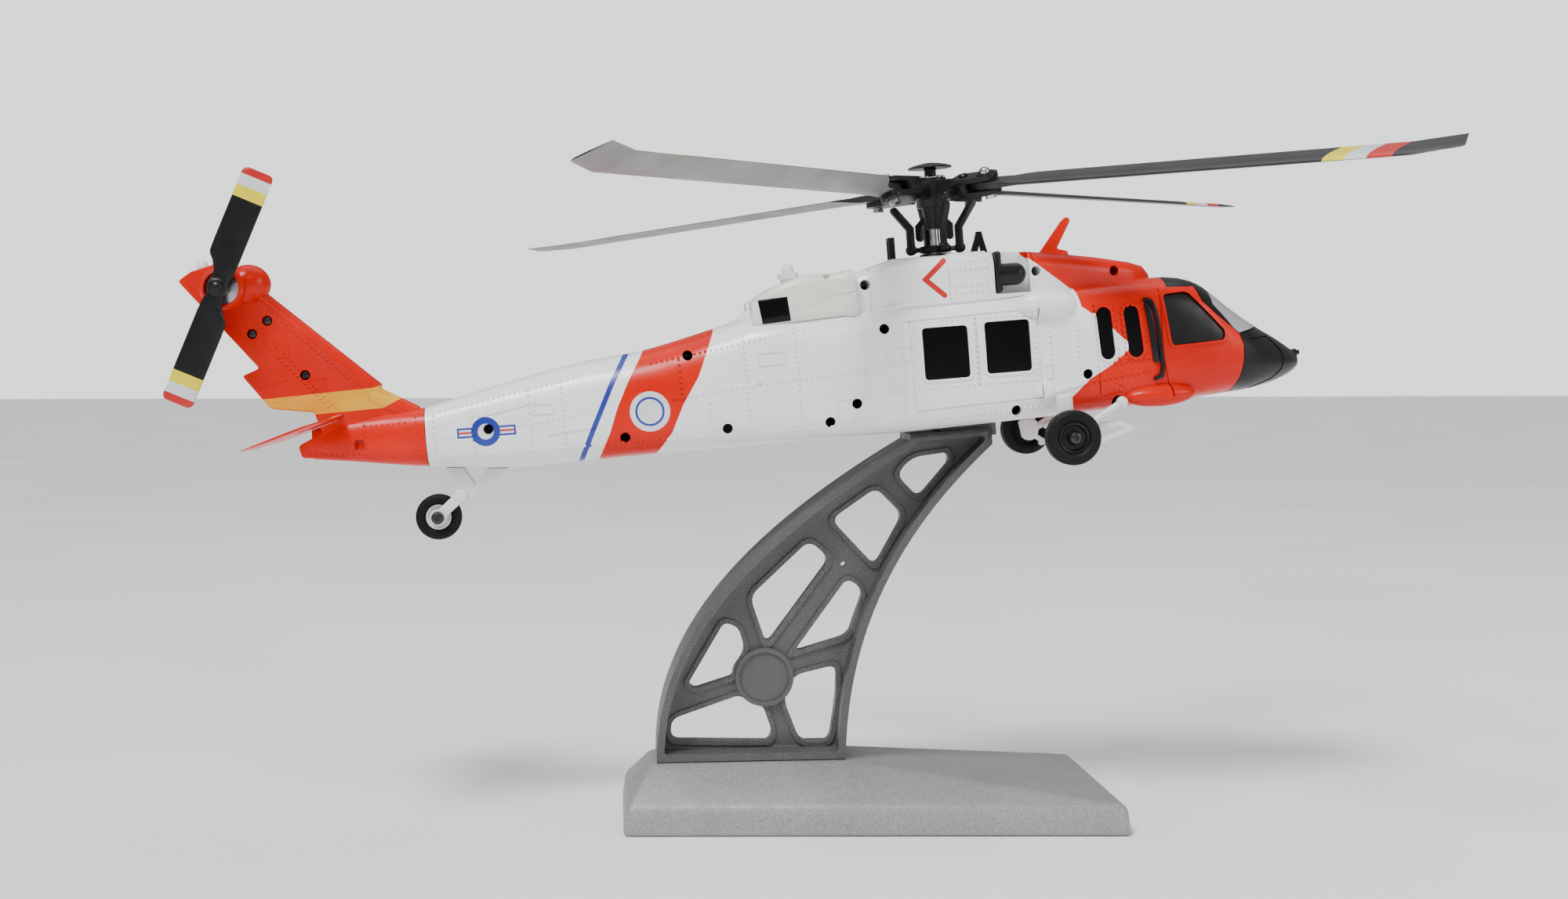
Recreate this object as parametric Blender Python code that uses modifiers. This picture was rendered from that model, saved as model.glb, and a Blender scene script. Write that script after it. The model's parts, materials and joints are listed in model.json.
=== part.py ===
"""Twin-engine utility helicopter scale model on its display stand.

Lengths are in millimetres and turned into metres by MM when a mesh or a location is made.
World frame: origin under the middle of the stand, +X to the nose, +Y to the model's left, +Z up.
Helicopter frame: origin at the rotor hub, tipped nose-up on the stand.
"""
import math

import bmesh
import bpy
from mathutils import Matrix, Vector

MM = 0.001
GAP = 0.3                     # clearance between two fitted pieces

# stand
BASE_LENGTH = 158.0
BASE_HALF_DEPTH_TAIL = 26.9
BASE_HALF_DEPTH_NOSE = 40.3
BASE_WALL = 9.4
BASE_DRAFT = 1.3
BASE_TOP = 19.6
PLATEAU = (-70.0, -6.0, 12.0)  # x of its two ends and its half depth
BASE_SKIN = 2.4
FLOOR_PLATE = 1.6
ARM_DEPTH = 22.0
ARM_WEB = 3.2
ARM_RIM = 2.4
ARM_FOOT = 19.95

# helicopter on the stand
HUB = (21.5, 0.0, 202.6)
NOSE_UP = math.radians(4.44)
SKIN = 1.3

# main rotor; clockwise seen from above
ROTOR_RADIUS = 177.0
BOLT_RADIUS = 22.0
ROTOR_TURN = -0.95
BLADE_STATIONS = {            # azimuth, nose-down pitch, lag and droop of each blade in degrees
    1: (-45.0, 19.0, -4.1, 1.8),
    2: (45.0, 10.0, -6.6, 1.2),
    3: (135.0, 3.0, 3.7, 1.5),
    4: (-135.0, 20.0, 6.9, 1.2),
}
HORN_X = 11.0
HORN_Y = -8.0
HORN_BALL = 1.3
MAST_RADIUS = 1.5

# tail rotor
TAIL_AXIS = (-225.3, -15.0)
TAIL_ROTOR_RADIUS = 37.8
TAIL_ROTOR_TURN = 27.0
TAIL_ROTOR_PLANE = -13.4

# wheels
WHEEL_RADIUS = 8.55
WHEEL_WIDTH = 6.4
WHEEL_CENTRE = (32.7, 33.9, -81.4)
AXLE_RADIUS = 1.0
TAIL_WHEEL_RADIUS = 7.25
TAIL_WHEEL_WIDTH = 4.6
TAIL_WHEEL_CENTRE = (-165.9, 0.0, -92.0)

# body sections: x, belly, roof, half width, and how square the roof and belly corners are
HULL = (
    (117.0, -66.2, -61.4, 3.0, 2.0, 2.0),
    (114.5, -67.8, -59.6, 6.6, 2.1, 2.1),
    (109.5, -69.8, -56.0, 11.2, 2.2, 2.2),
    (103.0, -71.3, -51.9, 15.8, 2.3, 2.5),
    (98.0, -72.0, -48.4, 18.6, 2.4, 2.8),
    (92.0, -72.4, -43.7, 21.0, 2.5, 3.2),
    (86.0, -72.8, -38.7, 22.8, 2.8, 3.6),
    (82.0, -73.0, -36.0, 23.6, 3.2, 4.0),
    (76.0, -73.2, -34.0, 24.4, 3.8, 4.4),
    (68.0, -73.5, -33.4, 25.0, 4.4, 4.8),
    (45.0, -74.8, -34.2, 25.2, 5.0, 5.0),
    (10.0, -76.0, -35.6, 25.2, 5.0, 5.0),
    (-30.0, -76.9, -36.2, 25.0, 4.6, 4.6),
    (-45.0, -77.0, -36.2, 24.2, 4.0, 4.2),
    (-61.0, -77.1, -36.0, 22.4, 3.6, 4.0),
    (-74.0, -77.2, -39.0, 20.2, 3.2, 3.8),
    (-97.0, -77.4, -44.2, 17.0, 2.8, 3.6),
    (-114.0, -77.7, -46.0, 14.8, 2.6, 3.4),
    (-128.0, -78.0, -48.4, 12.9, 2.5, 3.2),
    (-142.0, -78.0, -51.2, 11.2, 2.5, 3.0),
    (-156.0, -77.0, -54.4, 9.6, 2.5, 2.8),
    (-167.0, -75.7, -57.0, 8.4, 2.5, 2.6),
)
# upper deck over the cabin: x, foot, top, half width
DECK = (
    (68.3, -37.0, -31.8, 5.0),
    (66.0, -37.5, -29.4, 8.0),
    (61.0, -38.0, -27.8, 10.5),
    (50.0, -40.0, -25.6, 14.0),
    (38.0, -42.0, -23.8, 16.6),
    (27.0, -42.0, -22.4, 18.6),
    (14.0, -42.0, -21.6, 20.0),
    (-17.0, -42.0, -21.6, 20.0),
    (-25.0, -42.0, -24.0, 19.0),
    (-36.0, -42.0, -27.0, 17.0),
    (-50.0, -44.0, -31.5, 14.5),
    (-61.0, -46.0, -35.2, 12.0),
    (-70.0, -48.0, -38.0, 8.0),
)
DECK_HOLLOW = (
    (60.0, -40.0, -29.6, 8.0),
    (27.0, -44.0, -24.2, 11.6),
    (14.0, -44.0, -23.2, 11.6),
    (-17.0, -44.0, -23.2, 11.6),
    (-36.0, -44.0, -28.8, 11.6),
    (-50.0, -46.0, -33.4, 9.0),
)
TAIL_CONE = (
    (-167.4, -75.7, -57.0, 8.4, 2.5, 2.6),
    (-176.0, -74.6, -57.4, 6.6, 2.3, 2.4),
    (-190.0, -72.4, -59.0, 4.2, 2.2, 2.2),
    (-203.0, -70.6, -61.0, 2.6, 2.0, 2.0),
)
RING_POINTS = 24

# side-view outlines of the body's pieces: x, z
WINDSCREEN_SIDE = ((81.5, -28.0), (78.5, -36.5), (80.2, -42.0), (84.7, -46.6), (92.2, -53.2),
                   (102.4, -51.4), (114.0, -44.0), (100.0, -28.0))
NOSE_SIDE = ((102.7, -51.7), (92.4, -53.6), (93.6, -57.2), (93.2, -62.2), (91.8, -67.2),
             (88.6, -74.0), (88.0, -82.0), (126.0, -82.0), (126.0, -48.0))
COCKPIT_PANE = ((66.8, -39.2), (75.2, -38.8), (86.9, -52.3), (86.4, -55.0), (68.6, -55.6))
CABIN_PANES = ((-10.6, -60.4, 3.8, -44.1), (9.1, -59.9, 23.4, -43.7))
SLOT_PANES = ((47.2, -44.2, 47.9, -56.0), (56.0, -44.3, 56.9, -55.9))
SLOT_RADIUS = 2.4
FIN_SIDE = ((-239.6, -11.6), (-235.3, -8.8), (-226.1, -6.6), (-219.0, -9.0), (-213.0, -19.2),
            (-181.5, -48.9), (-176.8, -53.3), (-172.6, -56.4), (-169.0, -60.0), (-169.0, -73.8),
            (-206.6, -69.8), (-207.4, -65.9), (-199.7, -62.4), (-201.6, -55.7), (-214.8, -53.6),
            (-222.7, -42.6), (-217.2, -40.6))
BODY_SCREWS = ((-83.5, -46.9), (-104.9, -71.0), (-72.9, -70.6), (-147.3, -65.1), (-22.1, -43.4),
               (-26.4, -29.2), (-32.4, -65.9), (-41.0, -71.0), (17.9, -72.0), (41.1, -62.4),
               (28.3, -28.8), (55.0, -30.4))
TAIL_SCREWS = ((-213.4, -25.9), (-218.4, -29.7), (-203.3, -43.8), (-188.1, -67.0))
SCREW_WELL = 1.6


# ---------------------------------------------------------------- scene and looks

def clear_scene():
    for obj in list(bpy.data.objects):
        bpy.data.objects.remove(obj, do_unlink=True)


def new_collection(name):
    group = bpy.data.collections.new(name)
    bpy.context.scene.collection.children.link(group)
    return group


def look(name, colour, roughness, metallic=0.0):
    material = bpy.data.materials.new(name)
    material.use_nodes = True
    shader = material.node_tree.nodes["Principled BSDF"]
    shader.inputs["Base Color"].default_value = (*colour, 1.0)
    shader.inputs["Roughness"].default_value = roughness
    shader.inputs["Metallic"].default_value = metallic
    return material


clear_scene()
PARTS = new_collection("helicopter_scale_model")
CUTTERS = new_collection("cutters")
WHITE = look("white_gloss_body", (0.78, 0.80, 0.81), 0.25)
ORANGE = look("orange_gloss_body", (0.75, 0.03, 0.005), 0.25)
BLACK = look("black_satin_plastic", (0.012, 0.013, 0.014), 0.4)
GLASS = look("dark_glazing", (0.02, 0.02, 0.022), 0.15)
CLEAR = look("clear_glazing", (0.75, 0.80, 0.84), 0.05)
CREAM = look("cream_duct", (0.72, 0.70, 0.60), 0.35)
GREY = look("grey_stand", (0.30, 0.31, 0.31), 0.5)
DARK_GREY = look("dark_grey_arm", (0.13, 0.13, 0.13), 0.45)
BLADE_GREY = look("grey_blade", (0.16, 0.17, 0.17), 0.35)
STEEL = look("polished_steel", (0.6, 0.6, 0.6), 0.2, 1.0)
RUBBER = look("black_rubber", (0.01, 0.01, 0.01), 0.7)
PALE_GREY = look("pale_grey_strut", (0.55, 0.57, 0.57), 0.4)
CIRCUIT = look("green_circuit_board", (0.01, 0.12, 0.05), 0.4)
COPPER = look("copper_motor", (0.45, 0.18, 0.06), 0.35, 1.0)


# ---------------------------------------------------------------- object helpers

def empty(name, parent=None, location=(0, 0, 0), rotation=(0, 0, 0)):
    obj = bpy.data.objects.new(name, None)
    PARTS.objects.link(obj)
    obj.parent = parent
    obj.location = Vector(location) * MM
    obj.rotation_euler = rotation
    return obj


def place(mesh, name, group, parent, location, rotation):
    obj = bpy.data.objects.new(name, mesh)
    group.objects.link(obj)
    obj.parent = parent
    obj.location = Vector(location) * MM
    obj.rotation_euler = rotation
    return obj


def piece(name, mesh, material, parent=None, location=(0, 0, 0), rotation=(0, 0, 0)):
    obj = place(mesh, name, PARTS, parent, location, rotation)
    mesh.materials.clear()
    mesh.materials.append(material)
    mesh.shade_smooth()
    mesh.set_sharp_from_angle(angle=math.radians(35))
    return obj


def tool(mesh, parent=None, location=(0, 0, 0), rotation=(0, 0, 0)):
    obj = place(mesh, "cutter", CUTTERS, parent, location, rotation)
    obj.hide_render = True
    obj.display_type = "WIRE"
    return obj


def boolean(obj, operation, other):
    step = obj.modifiers.new(operation.lower(), "BOOLEAN")
    step.operation = operation
    step.object = other
    step.solver = "EXACT"


def cut(obj, *tools):
    for other in tools:
        boolean(obj, "DIFFERENCE", other)


def join(obj, *tools):
    for other in tools:
        boolean(obj, "UNION", other)


def keep(obj, other):
    boolean(obj, "INTERSECT", other)


def round_edges(obj, width, segments=1, angle=40.0):
    step = obj.modifiers.new("rounded_edges", "BEVEL")
    step.width = width * MM
    step.segments = segments
    step.limit_method = "ANGLE"
    step.angle_limit = math.radians(angle)


# ---------------------------------------------------------------- mesh helpers

def mesh_from(bm, name="shape"):
    mesh = bpy.data.meshes.new(name)
    bm.to_mesh(mesh)
    bm.free()
    return mesh


def box(size, centre=(0, 0, 0), turn=None):
    bm = bmesh.new()
    matrix = Matrix.Translation(Vector(centre) * MM)
    if turn is not None:
        matrix = matrix @ turn
    matrix = matrix @ Matrix.Diagonal((size[0] * MM, size[1] * MM, size[2] * MM, 1.0))
    bmesh.ops.create_cube(bm, size=1.0, matrix=matrix)
    return mesh_from(bm)


def span(x0, x1, y0, y1, z0, z1):
    size = (x1 - x0, y1 - y0, z1 - z0)
    centre = ((x0 + x1) / 2, (y0 + y1) / 2, (z0 + z1) / 2)
    return box(size, centre)


def rod(start, end, radius, end_radius=None, sides=16):
    """Cylinder or cone between two points."""
    start, end = Vector(start) * MM, Vector(end) * MM
    along = end - start
    turn = along.to_track_quat("Z", "Y").to_matrix().to_4x4()
    bm = bmesh.new()
    top = radius if end_radius is None else end_radius
    bmesh.ops.create_cone(bm, cap_ends=True, cap_tris=False, segments=sides, radius1=radius * MM,
                          radius2=top * MM, depth=along.length,
                          matrix=Matrix.Translation((start + end) / 2) @ turn)
    return mesh_from(bm)


def ball(centre, radii, u=12, v=8):
    bm = bmesh.new()
    matrix = Matrix.Translation(Vector(centre) * MM) @ Matrix.Diagonal((*(r * MM for r in radii), 1.0))
    bmesh.ops.create_uvsphere(bm, u_segments=u, v_segments=v, radius=1.0, matrix=matrix)
    return mesh_from(bm)


def plate(outlines, thickness, side_view=True, offset=0.0):
    """Flat piece: a filled 2D curve with half its thickness as extrusion, made a welded mesh.
    In side view the outline is x, z and the thickness runs along Y, else x, y and along Z."""
    curve = bpy.data.curves.new("outline", "CURVE")
    curve.dimensions = "2D"
    curve.fill_mode = "BOTH"
    curve.extrude = thickness * MM / 2
    for outline in outlines:
        spline = curve.splines.new("POLY")
        spline.points.add(len(outline) - 1)
        for point, (x, y) in zip(spline.points, outline):
            point.co = (x * MM, y * MM, 0.0, 1.0)
        spline.use_cyclic_u = True
    obj = bpy.data.objects.new("outline", curve)
    bpy.context.scene.collection.objects.link(obj)
    bpy.context.view_layer.update()
    graph = bpy.context.evaluated_depsgraph_get()
    mesh = bpy.data.meshes.new_from_object(obj.evaluated_get(graph))
    bpy.data.objects.remove(obj, do_unlink=True)
    bpy.data.curves.remove(curve)
    bm = bmesh.new()
    bm.from_mesh(mesh)
    bmesh.ops.remove_doubles(bm, verts=bm.verts, dist=0.000001)
    if side_view:
        bmesh.ops.transform(bm, verts=bm.verts, matrix=Matrix.Rotation(math.radians(90), 4, "X"))
        bmesh.ops.translate(bm, verts=bm.verts, vec=(0, offset * MM, 0))
    else:
        bmesh.ops.translate(bm, verts=bm.verts, vec=(0, 0, offset * MM))
    bmesh.ops.recalc_face_normals(bm, faces=bm.faces)
    bm.to_mesh(mesh)
    bm.free()
    return mesh


def turned(name, profile, material, parent, location, rotation, steps=28):
    """Solid of revolution about its own Z: the profile (radius, height) runs down its outer side."""
    mesh = bpy.data.meshes.new(name)
    points = [(r * MM, 0.0, z * MM) for r, z in profile]
    closed = profile[0][0] > 0.0
    count = len(points)
    edges = [(i, (i + 1) % count) for i in range(count if closed else count - 1)]
    mesh.from_pydata(points, edges, [])
    obj = place(mesh, name, PARTS, parent, location, rotation)
    mesh.materials.append(material)
    screw = obj.modifiers.new("turn", "SCREW")
    screw.axis = "Z"
    screw.steps = steps
    screw.render_steps = steps
    screw.use_merge_vertices = True
    screw.merge_threshold = 0.00001
    screw.use_smooth_shade = True
    return obj


def loft(rings):
    """Closed skin through rings of equal point count, with a flat cap at each end."""
    count = len(rings[0])
    verts = [Vector(p) * MM for ring in rings for p in ring]
    faces = []
    for i in range(len(rings) - 1):
        for j in range(count):
            a, b = i * count + j, i * count + (j + 1) % count
            faces.append((a, b, b + count, a + count))
    faces.append(tuple(reversed(range(count))))
    last = (len(rings) - 1) * count
    faces.append(tuple(range(last, last + count)))
    mesh = bpy.data.meshes.new("loft")
    mesh.from_pydata(verts, [], faces)
    bm = bmesh.new()
    bm.from_mesh(mesh)
    bmesh.ops.recalc_face_normals(bm, faces=bm.faces)
    bm.to_mesh(mesh)
    bm.free()
    return mesh


# ---------------------------------------------------------------- outline helpers

def bezier(p0, p1, p2, p3, count):
    points = []
    for i in range(count + 1):
        t = i / count
        a, b, c, d = (1 - t) ** 3, 3 * t * (1 - t) ** 2, 3 * t * t * (1 - t), t ** 3
        points.append((a * p0[0] + b * p1[0] + c * p2[0] + d * p3[0],
                       a * p0[1] + b * p1[1] + c * p2[1] + d * p3[1]))
    return points


def rounded(outline, radius, steps=3):
    """The same polygon with each corner replaced by a small arc."""
    points = []
    count = len(outline)
    for i, corner in enumerate(outline):
        here = Vector(corner)
        back = Vector(outline[i - 1]) - here
        ahead = Vector(outline[(i + 1) % count]) - here
        reach = min(radius, 0.45 * back.length, 0.45 * ahead.length)
        a, b = here + back.normalized() * reach, here + ahead.normalized() * reach
        for k in range(steps + 1):
            t = k / steps
            points.append(tuple(a * (1 - t) ** 2 + here * 2 * t * (1 - t) + b * t * t))
    return points


def rectangle(x0, z0, x1, z1):
    return ((x0, z0), (x1, z0), (x1, z1), (x0, z1))


def grown(outline, amount):
    """Outline moved outward by an amount (inward if negative), mitred at its corners."""
    count = len(outline)
    area = sum(outline[i - 1][0] * outline[i][1] - outline[i][0] * outline[i - 1][1]
               for i in range(count))
    side = 1.0 if area > 0 else -1.0
    points = []
    for i in range(count):
        here = Vector(outline[i])
        d0 = (here - Vector(outline[i - 1])).normalized()
        d1 = (Vector(outline[(i + 1) % count]) - here).normalized()
        n0, n1 = Vector((d0.y, -d0.x)) * side, Vector((d1.y, -d1.x)) * side
        normal = (n0 + n1).normalized()
        points.append(tuple(here + normal * amount / max(normal.dot(n0), 0.35)))
    return points


def strip(path, half_width, steps=6):
    """Outline of a bar that follows a path and has round ends."""
    left, right = [], []
    count = len(path)
    for i, point in enumerate(path):
        here = Vector(point)
        d0 = (here - Vector(path[i - 1])).normalized() if i else None
        d1 = (Vector(path[i + 1]) - here).normalized() if i < count - 1 else None
        direction = ((d0 or d1) + (d1 or d0)).normalized()
        normal = Vector((-direction.y, direction.x))
        reach = half_width / max(direction.dot(d1 or d0), 0.4)
        left.append(tuple(here + normal * reach))
        right.append(tuple(here - normal * reach))
    ends = []
    for here, away in ((path[-1], Vector(path[-1]) - Vector(path[-2])),
                       (path[0], Vector(path[0]) - Vector(path[1]))):
        base = math.atan2(away.y, away.x)
        ends.append([(here[0] + half_width * math.cos(base + math.pi * (0.5 - k / steps)),
                      here[1] + half_width * math.sin(base + math.pi * (0.5 - k / steps)))
                     for k in range(1, steps)])
    return left + ends[0] + right[::-1] + ends[1]


def section(x, low, high, half_width, top_square, belly_square, inset=0.0):
    """One cross-section ring of the body, a superellipse with different roof and belly corners."""
    middle = low + 0.45 * (high - low)
    half_width = max(half_width - inset, 0.4)
    ring = []
    for i in range(RING_POINTS):
        angle = math.tau * i / RING_POINTS
        c, s = math.cos(angle), math.sin(angle)
        square = top_square if s >= 0 else belly_square
        rise = (high - inset - middle) if s >= 0 else (middle - low - inset)
        rise = max(rise, 0.4)
        ring.append((x, half_width * math.copysign(abs(c) ** (2 / square), c),
                     middle + rise * math.copysign(abs(s) ** (2 / square), s)))
    return ring


def hull_loft(stations, inset=0.0, end_inset=0.0):
    rings = [section(*station, inset=inset) for station in stations]
    if end_inset:
        rings[0] = [(x - end_inset, y, z) for x, y, z in rings[0]]
        rings[-1] = [(x + end_inset, y, z) for x, y, z in rings[-1]]
    return loft(rings)


def deck_loft(stations, inset=0.0):
    """Upper deck: straight sides with rounded shoulders."""
    rings = []
    for x, low, high, half_width in stations:
        width, top = half_width - inset, high - inset
        shoulder = min(5.0, 0.35 * (top - low))
        ring = [(x, width, low)]
        for k in range(5):
            angle = math.radians(22.5 * k)
            ring.append((x, width - shoulder + shoulder * math.cos(angle),
                         top - shoulder + shoulder * math.sin(angle)))
        ring += [(px, -py, pz) for px, py, pz in reversed(ring)]
        rings.append(ring)
    return loft(rings)


# ---------------------------------------------------------------- stand

def trapezoid(inset, height):
    half = BASE_LENGTH / 2 - inset
    tail, nose = BASE_HALF_DEPTH_TAIL - inset, BASE_HALF_DEPTH_NOSE - inset
    return [(-half, -tail, height), (half, -nose, height), (half, nose, height), (-half, tail, height)]


def plateau(inset, height):
    x0, x1, half = PLATEAU[0] + inset, PLATEAU[1] - inset, PLATEAU[2] - inset
    return [(x0, -half, height), (x1, -half, height), (x1, half, height), (x0, half, height)]


ARM_BACK = ((-68.0, ARM_FOOT), (-68.4, 61.0), (-36.0, 93.0), (13.1, 122.2))
ARM_FRONT = ((39.8, 121.0), (14.0, 97.0), (-7.0, 66.0), (-7.4, ARM_FOOT))
ARM_TOP = ((13.1, 124.2), (39.5, 126.3))
ARM_WINDOWS = (
    ((10.0, 110.8), (15.1, 116.4), (26.6, 118.0), (27.4, 115.0), (17.4, 103.2)),
    ((-11.2, 96.4), (3.4, 106.6), (12.4, 97.6), (3.2, 81.0)),
    ((-37.6, 71.6), (-18.4, 89.6), (-11.6, 83.6), (-32.2, 55.8)),
    ((-23.6, 53.2), (-6.0, 77.4), (-0.6, 73.2), (-5.4, 58.6)),
    ((-57.6, 43.6), (-46.0, 63.4), (-41.4, 61.6), (-39.0, 54.0), (-43.0, 48.2), (-43.4, 45.6),
     (-55.6, 41.8)),
    ((-63.2, 32.0), (-41.0, 39.6), (-37.0, 36.6), (-33.4, 35.8), (-30.4, 27.4), (-31.6, 24.4),
     (-63.2, 25.2)),
    ((-26.8, 38.2), (-23.4, 45.8), (-9.4, 49.0), (-9.6, 38.0), (-11.8, 23.6), (-21.2, 23.8)),
)


def build_stand():
    base = piece("stand_base", loft([trapezoid(0.0, 0.0), trapezoid(BASE_DRAFT, BASE_WALL),
                                     plateau(0.0, BASE_TOP)]), GREY)
    round_edges(base, 1.6, 2, 15.0)
    cut(base, tool(loft([trapezoid(BASE_SKIN, -1.0), trapezoid(BASE_SKIN + BASE_DRAFT, BASE_WALL - 1.6),
                         plateau(1.6, BASE_TOP - 2.6)])))
    floor = trapezoid(BASE_SKIN + 3 * GAP, 0.0)
    piece("stand_floor_plate", plate([[(x, y) for x, y, _ in floor]], FLOOR_PLATE, False,
                                     FLOOR_PLATE / 2), DARK_GREY)
    outline = bezier(*ARM_BACK, 9) + list(ARM_TOP) + bezier(*ARM_FRONT, 8)
    arm = piece("stand_arm", plate([outline], ARM_DEPTH), DARK_GREY)
    pocket = grown(outline, -ARM_RIM)
    depth = (ARM_DEPTH - ARM_WEB) / 2
    for side in (-1, 1):
        cut(arm, tool(plate([pocket], depth + 1.0, True, side * (ARM_WEB / 2 + depth / 2 + 0.5))))
    for window in ARM_WINDOWS:
        cut(arm, tool(plate([rounded(window, 3.4)], ARM_WEB + 2.0)))
    cut(arm, tool(rod((-7.2, -5, 81.7), (-7.2, 5, 81.7), 0.8, sides=8)))
    tongue = tool(span(-4.0, 14.0, -8.0, 8.0, -80.0, -71.0), HELI)
    join(arm, tongue)


# ---------------------------------------------------------------- body

def hull_tool(inset=0.0, end_inset=0.0):
    return tool(hull_loft(HULL, inset, end_inset), HELI)


def prism(outline, thickness=90.0, offset=0.0):
    return tool(plate([outline], thickness, True, offset), HELI)


def half_space(side, gap=GAP / 2):
    """Block that covers the other side of the split line."""
    y0, y1 = (-gap, 60.0) if side < 0 else (-60.0, gap)
    return tool(span(-260.0, 140.0, y0, y1, -120.0, 20.0), HELI)


def screw_wells(positions, depth):
    return [tool(rod((x, -40.0, z), (x, -depth, z), SCREW_WELL, sides=10), HELI)
            for x, z in positions]


def pane_outlines(margin):
    panes = [rounded(grown(COCKPIT_PANE, margin), 1.6)]
    for x0, z0, x1, z1 in CABIN_PANES:
        panes.append(rounded(rectangle(x0 - margin, z0 - margin, x1 + margin, z1 + margin), 1.6))
    for x0, z0, x1, z1 in SLOT_PANES:
        panes.append(strip(((x0, z0), (x1, z1)), SLOT_RADIUS + margin))
    return panes


def build_fuselage_half(name, side):
    shell = piece(name, hull_loft(HULL), WHITE, HELI)
    join(shell, tool(deck_loft(DECK), HELI))
    join(shell, tool(ball((64.0, side * 23.4, -70.9), (11.5, 4.2, 3.6)), HELI))
    join(shell, tool(ball((29.5, side * 24.0, -39.4), (9.5, 4.4, 4.6)), HELI))
    cavity = tool(hull_loft(HULL, SKIN, -1.0), HELI)
    join(cavity, tool(deck_loft(DECK_HOLLOW), HELI))
    cut(shell, cavity)
    cut(shell, prism(grown(WINDSCREEN_SIDE, GAP)), prism(grown(NOSE_SIDE, GAP)))
    cut(shell, half_space(side))
    inner, outer = (13.8, 30.0) if side > 0 else (-30.0, -13.8)
    cut(shell, tool(span(14.6, 26.2, inner, outer, -35.2, -10.0), HELI))
    cut(shell, tool(span(-17.0, 17.6, -11.0, 11.0, -30.0, -15.0), HELI))
    for outline in pane_outlines(0.0):
        cut(shell, prism(outline, 30.0, side * 30.0))
    cut(shell, tool(span(-4.0 - GAP, 14.0 + GAP, -8.0 - GAP, 8.0 + GAP, -90.0, -60.0), HELI))
    cut(shell, tool(rod((32.3, side * 27.6, -90.0), (32.3, side * 27.6, -68.2), 2.6 + GAP), HELI))
    cut(shell, tool(rod((50.6, side * 30.0, -71.8), (50.6, side * 10.0, -71.8), 1.9), HELI))
    if side < 0:
        cut(shell, *screw_wells(BODY_SCREWS, 0.0))
    return shell


def build_glazing(name, side):
    """One moulded insert a side: a strip inside the skin with five panes standing in its openings."""
    insert = piece(name, hull_loft(HULL, 0.35), GLASS, HELI)
    panes = [prism(outline, 30.0, side * 30.0) for outline in pane_outlines(-GAP)]
    shape = tool(plate([rectangle(-14.0, -62.6, 88.2, -39.4)], 22.0, True, side * 21.0), HELI)
    backing = tool(hull_loft(HULL, SKIN + GAP), HELI)
    keep(backing, shape)
    keep(insert, panes[0])
    for other in panes[1:]:
        extra = tool(hull_loft(HULL, 0.35), HELI)
        keep(extra, other)
        join(insert, extra)
    join(insert, backing)
    cut(insert, tool(hull_loft(HULL, SKIN + GAP + 1.0), HELI))
    cut(insert, prism(grown(WINDSCREEN_SIDE, 2.4)))
    return insert


def build_body():
    build_fuselage_half("fuselage_right", -1)
    build_fuselage_half("fuselage_left", 1)
    build_glazing("side_glazing_right", -1)
    build_glazing("side_glazing_left", 1)
    nose = piece("nose_cap", hull_loft(HULL), BLACK, HELI)
    keep(nose, prism(NOSE_SIDE))
    cut(nose, tool(hull_loft(HULL, SKIN + 0.3, 2.0), HELI))
    join(nose, tool(rod((114.0, 0.0, -61.8), (118.6, 0.0, -61.4), 1.3, sides=12), HELI))
    screen = piece("windscreen", hull_loft(HULL), CLEAR, HELI)
    keep(screen, prism(WINDSCREEN_SIDE))
    cut(screen, tool(hull_loft(HULL, 1.1), HELI))
    aerial = piece("roof_aerial", plate([((34.2, -26.5), (33.6, -22.6), (39.2, -12.0), (40.4, -11.6),
                                          (43.8, -23.4), (43.4, -26.5))], 2.4), ORANGE, HELI)
    cut(aerial, tool(deck_loft(DECK, -GAP), HELI))


def build_engines():
    for name, side in (("intake_right", -1), ("intake_left", 1)):
        y0, y1 = sorted((side * 14.4, side * 21.2))
        intake = piece(name, span(15.0, 17.0, y0, y1, -34.8, -21.4), BLACK, HELI)
        middle = side * 17.8
        join(intake, tool(rod((16.0, middle, -29.2), (21.6, middle, -29.2), 3.5), HELI),
             tool(ball((21.4, middle, -29.2), (3.5, 3.5, 3.5)), HELI))
    for name, side in (("exhaust_right", -1), ("exhaust_left", 1)):
        rings = []
        for x, low, high, near, far in ((-29.8, -38.4, -24.6, 12.0, 22.0), (-46.0, -39.0, -24.8, 10.5, 21.6),
                                        (-55.0, -39.6, -27.4, 9.0, 20.4), (-62.4, -40.0, -31.6, 7.6, 18.2)):
            ring = rounded(((near, low), (far, low), (far - 1.0, high), (near, high)), 2.4, 2)
            rings.append([(x, side * y, z) for y, z in ring])
        duct = piece(name, loft(rings), CREAM, HELI)
        cut(duct, tool(hull_loft(HULL, -GAP), HELI), tool(deck_loft(DECK, -GAP), HELI))
        mouth = plate([((-60.4, -32.0), (-51.2, -31.4), (-50.6, -38.2), (-59.4, -38.8))], 9.0, True,
                      side * 20.6)
        cut(duct, tool(mouth, HELI))


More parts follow.
